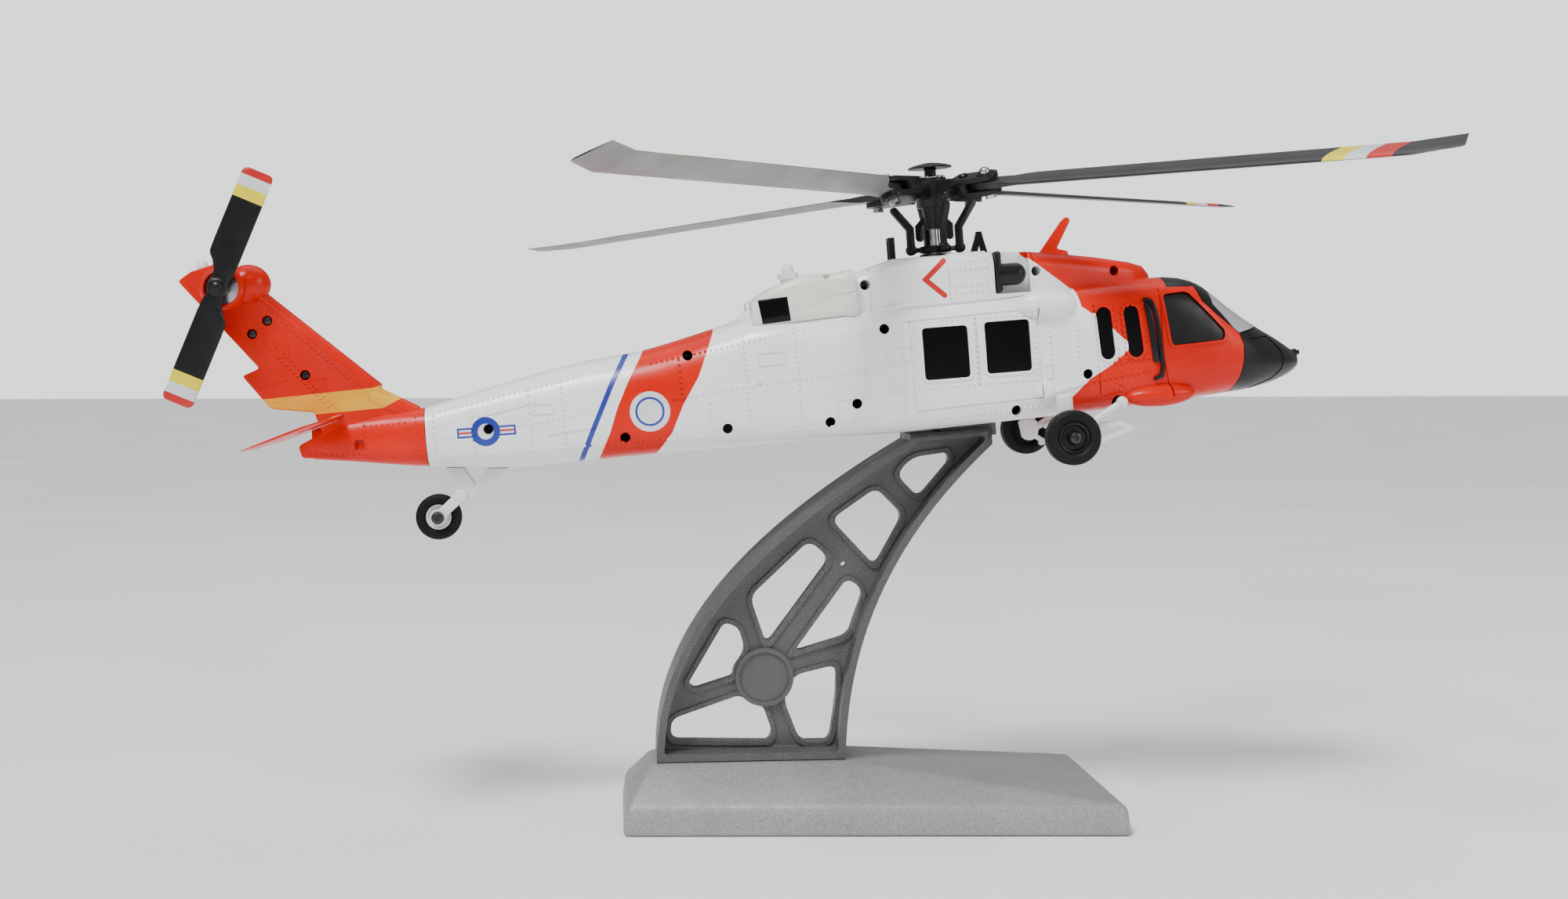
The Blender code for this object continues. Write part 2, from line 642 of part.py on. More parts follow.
def build_tail():
    for name, side in (("tail_shell_right", -1), ("tail_shell_left", 1)):
        shell = piece(name, hull_loft(TAIL_CONE), ORANGE, HELI)
        fin = tool(plate([rounded(FIN_SIDE, 1.6, 1)], 5.2), HELI)
        round_edges(fin, 1.5, 1, 50.0)
        join(shell, fin)
        join(shell, tool(ball((-218.6, 0.0, -14.2), (7.0, 5.6, 6.4)), HELI))
        join(shell, tool(rod((TAIL_AXIS[0], -9.4, TAIL_AXIS[1]), (TAIL_AXIS[0], 6.6, TAIL_AXIS[1]), 6.7),
                         HELI))
        cut(shell, half_space(side))
        cut(shell, tool(hull_loft(TAIL_CONE[:3], SKIN, -1.0), HELI))
        cut(shell, tool(rod((TAIL_AXIS[0], -12.0, TAIL_AXIS[1]), (TAIL_AXIS[0], 3.6, TAIL_AXIS[1]), 5.4),
                        HELI))
        cut(shell, tool(stabilator_loft(GAP), HELI))
        if side < 0:
            cut(shell, *screw_wells(TAIL_SCREWS, 0.8))
    piece("stabilator", stabilator_loft(0.0), ORANGE, HELI)


def stabilator_loft(margin):
    """Tail plane: a thin tapered wing across the boom, trailing edge low."""
    slope = -0.293
    rings = []
    for y, lead, trail, thick in ((-42.0, -196.0, -217.5, 0.8), (0.0, -192.6, -221.5, 1.4),
                                  (42.0, -196.0, -217.5, 0.8)):
        half = thick / 2 + margin
        ring = []
        for t, share in ((0.0, 0.35), (0.12, 1.0), (0.6, 0.9), (1.0, 0.35)):
            x = (lead + margin) + t * (trail - lead - 2 * margin)
            ring.append((x, share * half))
        ring = ring + [(x, -z) for x, z in reversed(ring)]
        rings.append([(x, y, -57.4 + slope * (-192.6 - x) + z) for x, z in ring])
    return loft(rings)


# ---------------------------------------------------------------- landing gear

def wheel(name, radius, width, bore, location):
    """Tyre and hub in one, turned about Y."""
    half = width / 2
    profile = ((radius * 0.52, half * 0.7), (radius * 0.6, half), (radius * 0.86, half),
               (radius, half * 0.55), (radius, -half * 0.55), (radius * 0.86, -half),
               (radius * 0.6, -half), (radius * 0.52, -half * 0.7), (bore, -half * 0.7),
               (bore, half * 0.7))
    return turned(name, profile, RUBBER, HELI, location, (math.radians(90), 0, 0), 22)


def build_main_gear():
    x, y, z = WHEEL_CENTRE
    for label, side in (("right", -1), ("left", 1)):
        inner, post = side * 25.6, side * 27.6
        strut = piece("main_strut_" + label, rod((32.3, post, -83.5), (32.3, post, -70.2), 2.6, sides=14),
                      PALE_GREY, HELI)
        join(strut, tool(ball((32.3, post, -70.2), (2.58, 2.58, 2.4), 10, 6), HELI))
        lug = tool(plate([((28.6, -77.8), (34.8, -77.8), (35.2, -81.4), (34.0, -84.2), (31.6, -85.0),
                           (29.6, -83.8), (29.2, -80.6))], 2.0, True, inner), HELI)
        join(strut, lug)
        join(strut, tool(rod((32.7, inner, z), (32.7, side * (y - WHEEL_WIDTH / 2 - GAP), z), 2.0, sides=14),
                         HELI))
        join(strut, tool(rod((32.7, inner + side, z), (32.7, side * (y + 1.9), z), AXLE_RADIUS, sides=12),
                         HELI))
        join(strut, tool(rod((33.4, post, -81.6), (50.6, post, -72.0), 1.2, sides=10), HELI))
        join(strut, tool(ball((50.6, post, -72.0), (1.6, 1.6, 1.6), 10, 8), HELI))
        loop = plate([strip(((36.0, -86.0), (53.0, -80.4), (49.6, -78.6), (42.0, -78.8), (38.0, -80.4)),
                            0.9, 3)], 1.8, True, side * 26.2)
        join(strut, tool(loop, HELI))
        join(strut, tool(rod((32.9, side * 26.2, -82.6), (37.0, side * 26.2, -85.6), 0.9, sides=8), HELI))
        wheel("main_wheel_" + label, WHEEL_RADIUS, WHEEL_WIDTH, AXLE_RADIUS + GAP, (x, side * y, z))
        head = ((0.0, 1.5), (1.1, 1.35), (1.9, 0.7), (2.1, 0.0), (2.1, -0.3), (0.0, -0.3))
        turned("wheel_bolt_" + label, head, BLACK, HELI, (x, side * (y + WHEEL_WIDTH * 0.35 + 0.65), z),
               (math.radians(-90 * side), 0, 0), 16)


def build_tail_gear():
    x, _, z = TAIL_WHEEL_CENTRE
    strut = piece("tail_strut", plate([((-163.6, -74.0), (-158.4, -74.0), (-153.6, -82.6), (-146.0, -74.0),
                                        (-136.6, -74.0), (-154.6, -86.8), (-157.6, -88.6),
                                        (-160.4, -86.2), (-158.6, -84.4))], 4.6), WHITE, HELI)
    join(strut, tool(rod((-158.2, -4.6, -85.6), (-158.2, 4.6, -85.6), 2.2, sides=14), HELI))
    for side in (-1, 1):
        arm = strip(((-158.2, -85.6), (x, z)), 1.7, 4)
        offset = side * (TAIL_WHEEL_WIDTH / 2 + 1.2)
        join(strut, tool(plate([arm], 1.5, True, offset), HELI))
        join(strut, tool(rod((x, offset - 0.9, z), (x, offset + 0.9, z), 2.7, sides=15), HELI))
    cut(strut, tool(rod((x, -9.0, z), (x, 9.0, z), AXLE_RADIUS + GAP, sides=9), HELI))
    cut(strut, tool(hull_loft(HULL, -GAP), HELI))
    wheel("tail_wheel", TAIL_WHEEL_RADIUS, TAIL_WHEEL_WIDTH, AXLE_RADIUS + GAP, TAIL_WHEEL_CENTRE)
    bolt = ((0.0, 6.3), (1.4, 6.0), (2.0, 5.2), (2.0, 4.8), (AXLE_RADIUS, 4.8), (AXLE_RADIUS, -5.2),
            (0.0, -5.2))
    turned("tail_wheel_bolt", bolt, BLACK, HELI, TAIL_WHEEL_CENTRE, (math.radians(90), 0, 0), 16)


# ---------------------------------------------------------------- main rotor

def blade_loft():
    """Blade about its bolt: x to the tip, leading edge on -Y. Stations give the leading and the
    trailing edge (x, y each), the thickness and how flat the section is."""
    reach = ROTOR_RADIUS - BOLT_RADIUS
    stations = (
        (-3.0, -2.6, -3.0, 2.6, 2.2, 1.0), (5.0, -3.0, 5.0, 3.0, 2.2, 1.0),
        (14.0, -4.0, 14.0, 8.5, 1.9, 0.2), (70.0, -4.0, 70.0, 8.5, 1.7, 0.0),
        (reach - 17.0, -4.0, reach - 17.0, 8.5, 1.5, 0.0),
        (reach - 13.0, -4.0, reach - 13.0, 9.6, 1.4, 0.0),
        (reach, 0.4, reach - 3.6, 12.4, 0.7, 0.0),
    )
    rings = []
    for x0, y0, x1, y1, thick, flat in stations:
        ring = []
        for t, share in ((0.0, 0.25), (0.1, 0.8), (0.35, 1.0), (0.7, 0.65), (1.0, 0.2)):
            half = 0.5 * thick * (flat + (1 - flat) * share)
            ring.append((x0 + t * (x1 - x0), y0 + t * (y1 - y0), half))
        rings.append(ring + [(x, y, -z) for x, y, z in reversed(ring)])
    return loft(rings)


def build_blade(number):
    azimuth, pitch, lag, droop = BLADE_STATIONS[number]
    arm = empty(f"blade_arm_{number}", ROTOR, rotation=(0, 0, math.radians(azimuth + ROTOR_TURN)))
    feather = empty(f"feather_{number}", arm, rotation=(math.radians(pitch), 0, 0))
    fold = empty(f"fold_{number}", feather, (BOLT_RADIUS, 0, 0),
                 (0, math.radians(droop), math.radians(lag)))
    grip = piece(f"blade_grip_{number}", span(9.6, 22.0, -4.0, 4.0, -3.2, 3.2), BLACK, feather)
    join(grip, tool(rod((BOLT_RADIUS, 0, -3.2), (BOLT_RADIUS, 0, 3.2), 4.0), feather))
    join(grip, tool(span(9.8, 12.4, HORN_Y, -3.0, -1.1, 1.1), feather))
    join(grip, tool(ball((HORN_X, HORN_Y, 0), (HORN_BALL,) * 3, 8, 6), feather))
    cut(grip, tool(span(16.4, 30.0, -6.0, 6.0, -1.6, 1.6), feather))
    cut(grip, tool(rod((BOLT_RADIUS, 0, -6.0), (BOLT_RADIUS, 0, 6.0), 1.1, sides=8), feather))
    cut(grip, tool(rod((5.0, 0, 0), (15.4, 0, 0), 1.6, sides=10), feather))
    blade = piece(f"blade_{number}", blade_loft(), BLADE_GREY, fold)
    cut(blade, tool(rod((0, 0, -6.0), (0, 0, 6.0), 1.1, sides=8), fold))
    bolt = ((0.0, 5.2), (1.3, 5.0), (1.75, 4.4), (1.75, 3.5), (0.8, 3.5), (0.8, -3.5), (1.5, -3.5),
            (1.5, -4.8), (0.0, -4.8))
    turned(f"blade_bolt_{number}", bolt, STEEL, feather, (BOLT_RADIUS, 0, 0), (0, 0, 0), 8)
    build_pitch_link(number)


def horn_place(number):
    """Heading and radius of the pitch horn's ball about the mast, and its height."""
    azimuth, pitch, _, _ = BLADE_STATIONS[number]
    turn = math.radians(azimuth + ROTOR_TURN)
    reach = HORN_Y * math.cos(math.radians(pitch))
    x = HORN_X * math.cos(turn) - reach * math.sin(turn)
    y = HORN_X * math.sin(turn) + reach * math.cos(turn)
    return math.atan2(y, x), math.hypot(x, y), HORN_Y * math.sin(math.radians(pitch))


def build_pitch_link(number):
    """Flat dog-leg link from the swashplate up to just below the pitch horn's ball."""
    heading, radius, height = horn_place(number)
    top = height - HORN_BALL - 1.8
    turn = (0, 0, heading)
    outline = strip(((8.3, -18.8), (8.3, -12.0), (radius, top)), 1.2, 4)
    link = piece(f"pitch_link_{number}", plate([outline], 1.7), BLACK, ROTOR, rotation=turn)
    join(link, tool(rod((8.3, -1.2, -18.8), (8.3, 1.2, -18.8), 1.7, sides=10), ROTOR, rotation=turn))


def build_rotor():
    turned("main_mast", ((0.0, 4.3), (MAST_RADIUS - 0.2, 4.3), (MAST_RADIUS, 4.0), (MAST_RADIUS, -63.0),
                         (0.0, -63.0)), STEEL, ROTOR, (0, 0, 0), (0, 0, 0), 20)
    head = piece("rotor_head", rod((0, 0, -5.4), (0, 0, 4.0), 5.0), BLACK, ROTOR)
    join(head, tool(rod((0, 0, -12.4), (0, 0, -5.0), 2.9, 3.9), ROTOR))
    for azimuth, _, _, _ in BLADE_STATIONS.values():
        turn = (0, 0, math.radians(azimuth + ROTOR_TURN))
        join(head, tool(span(2.0, 9.2, -2.7, 2.7, -2.9, 2.9), ROTOR, rotation=turn))
        join(head, tool(rod((6.0, 0, 0), (14.8, 0, 0), 1.2, sides=8), ROTOR, rotation=turn))
    for turn in (math.radians(155.0), math.radians(-25.0)):
        arm = plate([strip(((2.2, -8.6), (5.0, -11.4), (5.0, -15.0)), 1.1, 4)], 2.2)
        join(head, tool(arm, ROTOR, rotation=(0, 0, turn)))
    cut(head, tool(rod((0, 0, -20.0), (0, 0, 10.0), MAST_RADIUS + GAP), ROTOR))
    turned("head_cap", ((0.0, 9.0), (2.6, 8.75), (5.2, 8.2), (7.1, 7.5), (7.1, 7.1), (2.0, 7.3),
                        (1.9, 4.6), (0.0, 4.6)), BLACK, ROTOR, (0, 0, 0), (0, 0, 0), 22)
    for number in BLADE_STATIONS:
        build_blade(number)
    upper = piece("swash_upper", rod((0, 0, -20.0), (0, 0, -17.8), 5.0), BLACK, ROTOR)
    for number in BLADE_STATIONS:
        turn = (0, 0, horn_place(number)[0])
        join(upper, tool(span(3.0, 6.3, -1.2, 1.2, -19.7, -18.1), ROTOR, rotation=turn))
    cut(upper, tool(rod((0, 0, -25.0), (0, 0, -10.0), MAST_RADIUS + 0.5), ROTOR))
    lower = piece("swash_lower", rod((0, 0, -22.8), (0, 0, -20.4), 5.4), BLACK, HELI)
    for angle in SERVO_ANGLES:
        join(lower, tool(span(4.0, 8.4, -1.2, 1.2, -22.4, -20.9), HELI, rotation=(0, 0, math.radians(angle))))
    join(lower, tool(span(-12.6, -4.0, -0.9, 0.9, -22.3, -21.0), HELI))
    cut(lower, tool(rod((0, 0, -30.0), (0, 0, -10.0), MAST_RADIUS + 0.5), HELI))
    bell = piece("motor_bell", rod((0, 0, -66.4), (0, 0, -56.4), 10.2, sides=28), STEEL, ROTOR)
    cut(bell, tool(rod((0, 0, -64.8), (0, 0, -50.0), 9.2, sides=28), ROTOR),
        tool(rod((0, 0, -70.0), (0, 0, -50.0), MAST_RADIUS + GAP, sides=16), ROTOR))


# ---------------------------------------------------------------- pieces inside the body

SERVO_ANGLES = (0.0, 110.0, -110.0)
ROD_RADIUS = 7.6
ROD_TOP = -22.7


def build_inside():
    frame = piece("chassis", span(-24.0, 24.0, -9.6, 9.6, -30.4, -28.8), BLACK, HELI)
    for x0, x1 in ((-24.0, -22.4), (22.4, 24.0)):
        join(frame, tool(span(x0, x1, -9.4, 9.4, -70.2, -29.2), HELI))
    join(frame, tool(span(-23.6, 23.6, -9.5, 9.5, -54.4, -52.6), HELI))
    join(frame, tool(span(-11.0, 6.0, -14.6, 14.6, -54.3, -52.7), HELI))
    join(frame, tool(span(-23.8, 23.6, -9.3, 9.3, -70.5, -69.3), HELI))
    for z in (-31.8, -55.6):
        join(frame, tool(rod((0, 0, z), (0, 0, z + 5.0), 4.2), HELI))
    join(frame, tool(span(-15.6, -13.6, -2.6, 2.6, -30.0, -14.2), HELI))
    join(frame, tool(span(-14.0, -10.2, -2.4, 2.4, -30.0, -24.4), HELI))
    fork = plate([((11.2, -30.0), (10.9, -22.0), (13.0, -16.4), (13.6, -14.2), (15.2, -14.2),
                   (15.7, -16.6), (17.0, -22.0), (17.0, -30.0), (15.2, -30.0), (14.9, -22.0),
                   (14.3, -18.2), (13.1, -22.0), (13.1, -30.0))], 2.0)
    join(frame, tool(fork, HELI))
    cut(frame, tool(span(-16.0, -12.0, -1.3, 1.3, -26.0, -15.4), HELI))
    cut(frame, tool(rod((0, 0, -60.0), (0, 0, -20.0), MAST_RADIUS + GAP), HELI))
    for number, angle in enumerate(SERVO_ANGLES, 1):
        base = empty(f"servo_mount_{number}", HELI, rotation=(0, 0, math.radians(angle)))
        piece(f"servo_{number}", span(9.4, 15.4, -5.2, 5.2, -52.0, -38.8), DARK_GREY, base)
        slider = piece(f"servo_rod_{number}", span(6.4, 9.1, -1.6, 1.6, -49.0, -45.0), PALE_GREY, base)
        join(slider, tool(rod((ROD_RADIUS, 0, -46.0), (ROD_RADIUS, 0, ROD_TOP), 0.75, sides=8), base))
        cut(frame, tool(rod((ROD_RADIUS, 0, -34.0), (ROD_RADIUS, 0, -24.0), 1.3, sides=8), base))
    turned("motor_stator", ((4.6, -56.3), (4.6, -56.9), (8.8, -57.2), (8.8, -63.8), (2.4, -64.0),
                                     (2.4, -56.3)), COPPER, HELI, (0, 0, 0), (0, 0, 0), 24)
    piece("battery", span(27.0, 62.0, -9.0, 9.0, -70.0, -58.0), PALE_GREY, HELI)
    piece("flight_board", span(27.0, 57.0, -10.0, 10.0, -52.0, -50.4), CIRCUIT, HELI)
    turned("tail_motor", ((1.2, 4.4), (5.0, 4.0), (5.0, -5.2), (1.2, -5.6)), STEEL, HELI,
           (TAIL_AXIS[0], -2.6, TAIL_AXIS[1]), (math.radians(90), 0, 0), 20)


def tail_blade_loft(direction):
    """Paddle blade from the hub outward along +Z, one edge bulging at the root."""
    rings = []
    for r, lead, trail, thick in ((1.0, -2.2, 2.2, 2.0), (5.0, -3.4, 3.0, 1.9), (9.6, -6.6, 3.2, 1.5),
                                  (14.0, -6.6, 3.2, 1.3), (TAIL_ROTOR_RADIUS - 1.0, -6.6, 3.2, 0.9),
                                  (TAIL_ROTOR_RADIUS, -5.4, 2.0, 0.8)):
        ring = []
        for t, share in ((0.0, 0.35), (0.3, 1.0), (1.0, 0.35)):
            ring.append((lead + t * (trail - lead), 0.5 * thick * share))
        ring = ring + [(x, -y) for x, y in reversed(ring)]
        rings.append([(direction * x, y, direction * r) for x, y in ring])
    return loft(rings)


def build_tail_rotor():
    hub = piece("tail_rotor", rod((0, 1.6, 0), (0, -1.8, 0), 2.9), BLACK, TAIL_ROTOR)
    join(hub, tool(rod((0, -1.0, 0), (0, 16.0, 0), 0.8, sides=10), TAIL_ROTOR))
    join(hub, tool(rod((0, -1.6, 0), (0, -3.0, 0), 1.6, sides=14), TAIL_ROTOR))
    for direction in (-1, 1):
        join(hub, tool(tail_blade_loft(direction), TAIL_ROTOR))


# ---------------------------------------------------------------- assembly

HELI = empty("helicopter", None, HUB, (0, -NOSE_UP, 0))
ROTOR = empty("rotor_axis", HELI)
TAIL_ROTOR = empty("tail_rotor_axis", HELI, (TAIL_AXIS[0], TAIL_ROTOR_PLANE, TAIL_AXIS[1]),
                   (0, math.radians(TAIL_ROTOR_TURN), 0))
build_stand()
build_body()
build_engines()
build_tail()
build_main_gear()
build_tail_gear()
build_rotor()
build_inside()
build_tail_rotor()
bpy.context.view_layer.update()
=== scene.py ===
"""Looks of a twin-engine helicopter scale model on its display stand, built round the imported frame.

Helicopter frame: millimetres from the rotor hub, +X to the nose, +Y to the model's left and +Z up
the mast. It is tipped nose-up over the stand. Side is -1 for the model's right and +1 for its left.
"""

import json
import math

import bmesh
import bpy
from mathutils import Matrix, Vector
from mathutils.bvhtree import BVHTree


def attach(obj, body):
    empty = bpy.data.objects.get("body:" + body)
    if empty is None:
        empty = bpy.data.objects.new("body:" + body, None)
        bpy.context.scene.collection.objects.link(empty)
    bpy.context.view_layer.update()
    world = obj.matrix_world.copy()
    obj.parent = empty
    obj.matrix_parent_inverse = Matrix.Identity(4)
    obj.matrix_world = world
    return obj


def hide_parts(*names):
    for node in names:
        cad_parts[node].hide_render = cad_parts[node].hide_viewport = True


MM = 0.001
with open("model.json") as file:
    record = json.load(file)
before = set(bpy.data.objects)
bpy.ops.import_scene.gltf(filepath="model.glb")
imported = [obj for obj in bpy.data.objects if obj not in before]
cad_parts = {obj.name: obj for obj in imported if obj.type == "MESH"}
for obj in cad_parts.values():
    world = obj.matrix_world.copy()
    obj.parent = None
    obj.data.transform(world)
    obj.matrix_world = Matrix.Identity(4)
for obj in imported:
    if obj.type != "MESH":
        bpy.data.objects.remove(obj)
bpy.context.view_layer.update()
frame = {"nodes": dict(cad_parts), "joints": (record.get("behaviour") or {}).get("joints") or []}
JOINTS = {joint["name"]: joint for joint in frame["joints"]}
HUB = Vector(JOINTS["rotor_spin"]["pos_m"])
MAST = Vector(JOINTS["rotor_spin"]["axis"])
NOSE_UP = math.atan2(-MAST.x, MAST.z)
HELI = Matrix.Translation(HUB) @ Matrix.Rotation(-NOSE_UP, 4, "Y")
TAIL_HUB = HELI.inverted() @ Vector(JOINTS["tail_rotor_spin"]["pos_m"]) / MM

CUT, ADD, KEEP, BEVEL = "DIFFERENCE", "UNION", "INTERSECT", "BEVEL"
SIDES = {"right": -1, "left": 1}
BEVEL_ANGLE = 30.0            # edges sharper than this are softened
WELD = 0.000001               # metres: points closer than this are one point
SKIN = 1.3                    # wall of the body
SPLIT = 0.12                  # half the seam between the two body halves
THROUGH = 40.0                # half the depth of a prism that goes through the whole body
FLANK = 60.0                  # a distance from the middle plane that is outside the whole body
BLADES = {                    # azimuth, nose-down pitch, lag and droop of each blade in degrees
    1: (-45.95, 19.0, -4.1, 1.8),
    2: (44.05, 10.0, -6.6, 1.2),
    3: (134.05, 3.0, 3.7, 1.5),
    4: (-135.95, 20.0, 6.9, 1.2),
}
BLADE_REACH = 155.0           # from the folding bolt to the tip
TAIL_ROTOR_TURN = math.radians(27.0)

# body sections: x, belly, roof, half width, and how square the roof and belly corners are
HULL = (
    (117.0, -66.2, -61.4, 3.0, 2.0, 2.0),
    (114.5, -67.8, -59.6, 6.6, 2.1, 2.1),
    (109.5, -69.8, -56.0, 11.2, 2.2, 2.2),
    (103.0, -71.3, -51.9, 15.8, 2.3, 2.5),
    (98.0, -72.0, -48.4, 18.6, 2.4, 2.8),
    (92.0, -72.4, -43.7, 21.0, 2.5, 3.2),
    (86.0, -72.8, -38.7, 22.8, 2.8, 3.6),
    (82.0, -73.0, -36.0, 23.6, 3.2, 4.0),
    (76.0, -73.2, -34.0, 24.4, 3.8, 4.4),
    (68.0, -73.5, -33.4, 25.0, 4.4, 4.8),
    (45.0, -74.8, -34.2, 25.2, 5.0, 5.0),
    (10.0, -76.0, -35.6, 25.2, 5.0, 5.0),
    (-30.0, -76.9, -36.2, 25.0, 4.6, 4.6),
    (-45.0, -77.0, -36.2, 24.2, 4.0, 4.2),
    (-61.0, -77.1, -36.0, 22.4, 3.6, 4.0),
    (-74.0, -77.2, -39.0, 20.2, 3.2, 3.8),
    (-97.0, -77.4, -44.2, 17.0, 2.8, 3.6),
    (-114.0, -77.7, -46.0, 14.8, 2.6, 3.4),
    (-128.0, -78.0, -48.4, 12.9, 2.5, 3.2),
    (-142.0, -78.0, -51.2, 11.2, 2.5, 3.0),
    (-156.0, -77.0, -54.4, 9.6, 2.5, 2.8),
    (-167.0, -75.7, -57.0, 8.4, 2.5, 2.6),
)
# upper deck over the cabin: x, foot, top, half width
DECK = (
    (68.3, -37.0, -31.8, 5.0),
    (66.0, -37.5, -29.4, 8.0),
    (61.0, -38.0, -27.8, 10.5),
    (50.0, -40.0, -25.6, 14.0),
    (38.0, -42.0, -23.8, 16.6),
    (27.0, -42.0, -22.4, 18.6),
    (14.0, -42.0, -21.6, 20.0),
    (-17.0, -42.0, -21.6, 20.0),
    (-25.0, -42.0, -24.0, 19.0),
    (-36.0, -42.0, -27.0, 17.0),
    (-50.0, -44.0, -31.5, 14.5),
    (-61.0, -46.0, -35.2, 12.0),
    (-70.0, -48.0, -38.0, 8.0),
)
TAIL_CONE = (
    (-167.2, -75.7, -57.0, 8.4, 2.5, 2.6),
    (-176.0, -74.6, -57.4, 6.6, 2.3, 2.4),
    (-190.0, -72.4, -59.0, 4.2, 2.2, 2.2),
    (-203.0, -70.6, -61.0, 2.6, 2.0, 2.0),
)

# side-view outlines, x and z
WINDSCREEN_SIDE = ((81.5, -28.0), (78.5, -36.5), (80.2, -42.0), (84.7, -46.6), (92.2, -53.2),
                   (102.4, -51.4), (114.0, -44.0), (100.0, -28.0))
NOSE_SIDE = ((102.7, -51.7), (92.4, -53.6), (93.6, -57.2), (93.2, -62.2), (91.8, -67.2),
             (88.6, -74.0), (88.0, -82.0), (126.0, -82.0), (126.0, -48.0))
COCKPIT_PANE = ((66.8, -39.2), (75.2, -38.8), (86.9, -52.3), (86.4, -55.0), (68.6, -55.6))
CABIN_PANES = ((-10.6, -60.4, 3.8, -44.1), (9.1, -59.9, 23.4, -43.7))
SLOT_PANES = ((47.2, -44.2, 47.9, -56.0), (56.0, -44.3, 56.9, -55.9))
SLOT_RADIUS = 2.4
FIN_SIDE = ((-239.6, -11.6), (-235.3, -8.8), (-226.1, -6.6), (-219.0, -9.0), (-213.0, -19.2),
            (-181.5, -48.9), (-176.8, -53.3), (-172.6, -56.4), (-169.0, -60.0), (-169.0, -73.8),
            (-206.6, -69.8), (-207.4, -65.9), (-199.7, -62.4), (-201.6, -55.7), (-214.8, -53.6),
            (-222.7, -42.6), (-217.2, -40.6))
BODY_SCREWS = ((-83.5, -46.9), (-104.9, -71.0), (-72.9, -70.6), (-147.3, -65.1), (-22.1, -43.4),
               (-26.4, -29.2), (-32.4, -65.9), (-41.0, -71.0), (17.9, -72.0), (41.1, -62.4),
               (28.3, -28.8), (55.0, -30.4))
TAIL_SCREWS = ((-213.4, -25.9), (-218.4, -29.7), (-203.3, -43.8), (-188.1, -67.0))
SCREW_WELL = 1.6
SCREW_SIDE = SIDES["right"]

# paint: outlines of the colour fields in side view
FRONT_FIELD = ((24.3, -10.0), (24.3, -23.0), (39.7, -35.4), (40.6, -41.1), (44.4, -44.1),
               (50.1, -49.0), (54.8, -53.8), (54.1, -56.2), (49.8, -59.6), (41.5, -64.1),
               (36.1, -68.9), (33.6, -72.0), (32.0, -84.0), (122.0, -84.0), (122.0, -10.0))
BOOM_BAND = ((-97.0, -30.0), (-97.0, -44.1), (-98.7, -47.1), (-102.5, -53.5), (-106.5, -61.3),
             (-109.5, -69.2), (-113.6, -77.3), (-116.0, -84.0), (-98.6, -84.0), (-95.4, -76.9),
             (-90.2, -70.6), (-86.1, -62.1), (-80.7, -53.8), (-74.1, -38.5), (-70.0, -30.0))
BLUE_LINE = ((-100.4, -41.5), (-103.2, -46.0), (-108.0, -54.4), (-114.8, -68.1), (-120.2, -79.5))
COCKPIT_ROOF = ((68.9, -28.0), (68.9, -37.0), (77.0, -37.4), (84.6, -36.6), (84.6, -28.0))
FIN_BAND = ((-224.0, -50.6), (-182.5, -49.4), (-177.5, -48.0), (-174.0, -53.3), (-180.0, -56.0),
            (-202.0, -56.4), (-216.0, -53.8))
CHEVRON = ((-1.0, -23.4), (-7.4, -29.0), (-1.6, -34.4))
ROUNDEL = (-148.2, -65.8, 4.6)
EMBLEM = (-96.6, -63.4, 6.3)
WHITE, ORANGE, BLACK, BLUE, YELLOW, RED, MARK_WHITE = range(7)
STAND = Matrix.Identity(4)    # the stand, and the CAD nodes, are in the frame's own axes


# ---------------------------------------------------------------- outlines and meshes, in millimetres

def rounded(outline, radius, steps=6):
    """The same polygon with each corner replaced by a small arc."""
    points = []
    for i, corner in enumerate(outline):
        here = Vector(corner)
        back = Vector(outline[i - 1]) - here
        ahead = Vector(outline[(i + 1) % len(outline)]) - here
        reach = min(radius, 0.45 * back.length, 0.45 * ahead.length)
        a, b = here + back.normalized() * reach, here + ahead.normalized() * reach
        for k in range(steps + 1):
            t = k / steps
            points.append(tuple(a * (1 - t) ** 2 + here * 2 * t * (1 - t) + b * t * t))
    return points


def rectangle(x0, z0, x1, z1):
    return ((x0, z0), (x1, z0), (x1, z1), (x0, z1))


def circle(x, z, radius, count=32):
    return [(x + radius * math.cos(math.tau * i / count), z + radius * math.sin(math.tau * i / count))
            for i in range(count)]


def grown(outline, amount):
    """Outline moved outward by an amount (inward if negative), mitred at its corners."""
    count = len(outline)
    area = sum(outline[i - 1][0] * outline[i][1] - outline[i][0] * outline[i - 1][1]
               for i in range(count))
    side = 1.0 if area > 0 else -1.0
    points = []
    for i in range(count):
        here = Vector(outline[i])
        d0 = (here - Vector(outline[i - 1])).normalized()
        d1 = (Vector(outline[(i + 1) % count]) - here).normalized()
        n0, n1 = Vector((d0.y, -d0.x)) * side, Vector((d1.y, -d1.x)) * side
        normal = (n0 + n1).normalized()
        points.append(tuple(here + normal * amount / max(normal.dot(n0), 0.35)))
    return points


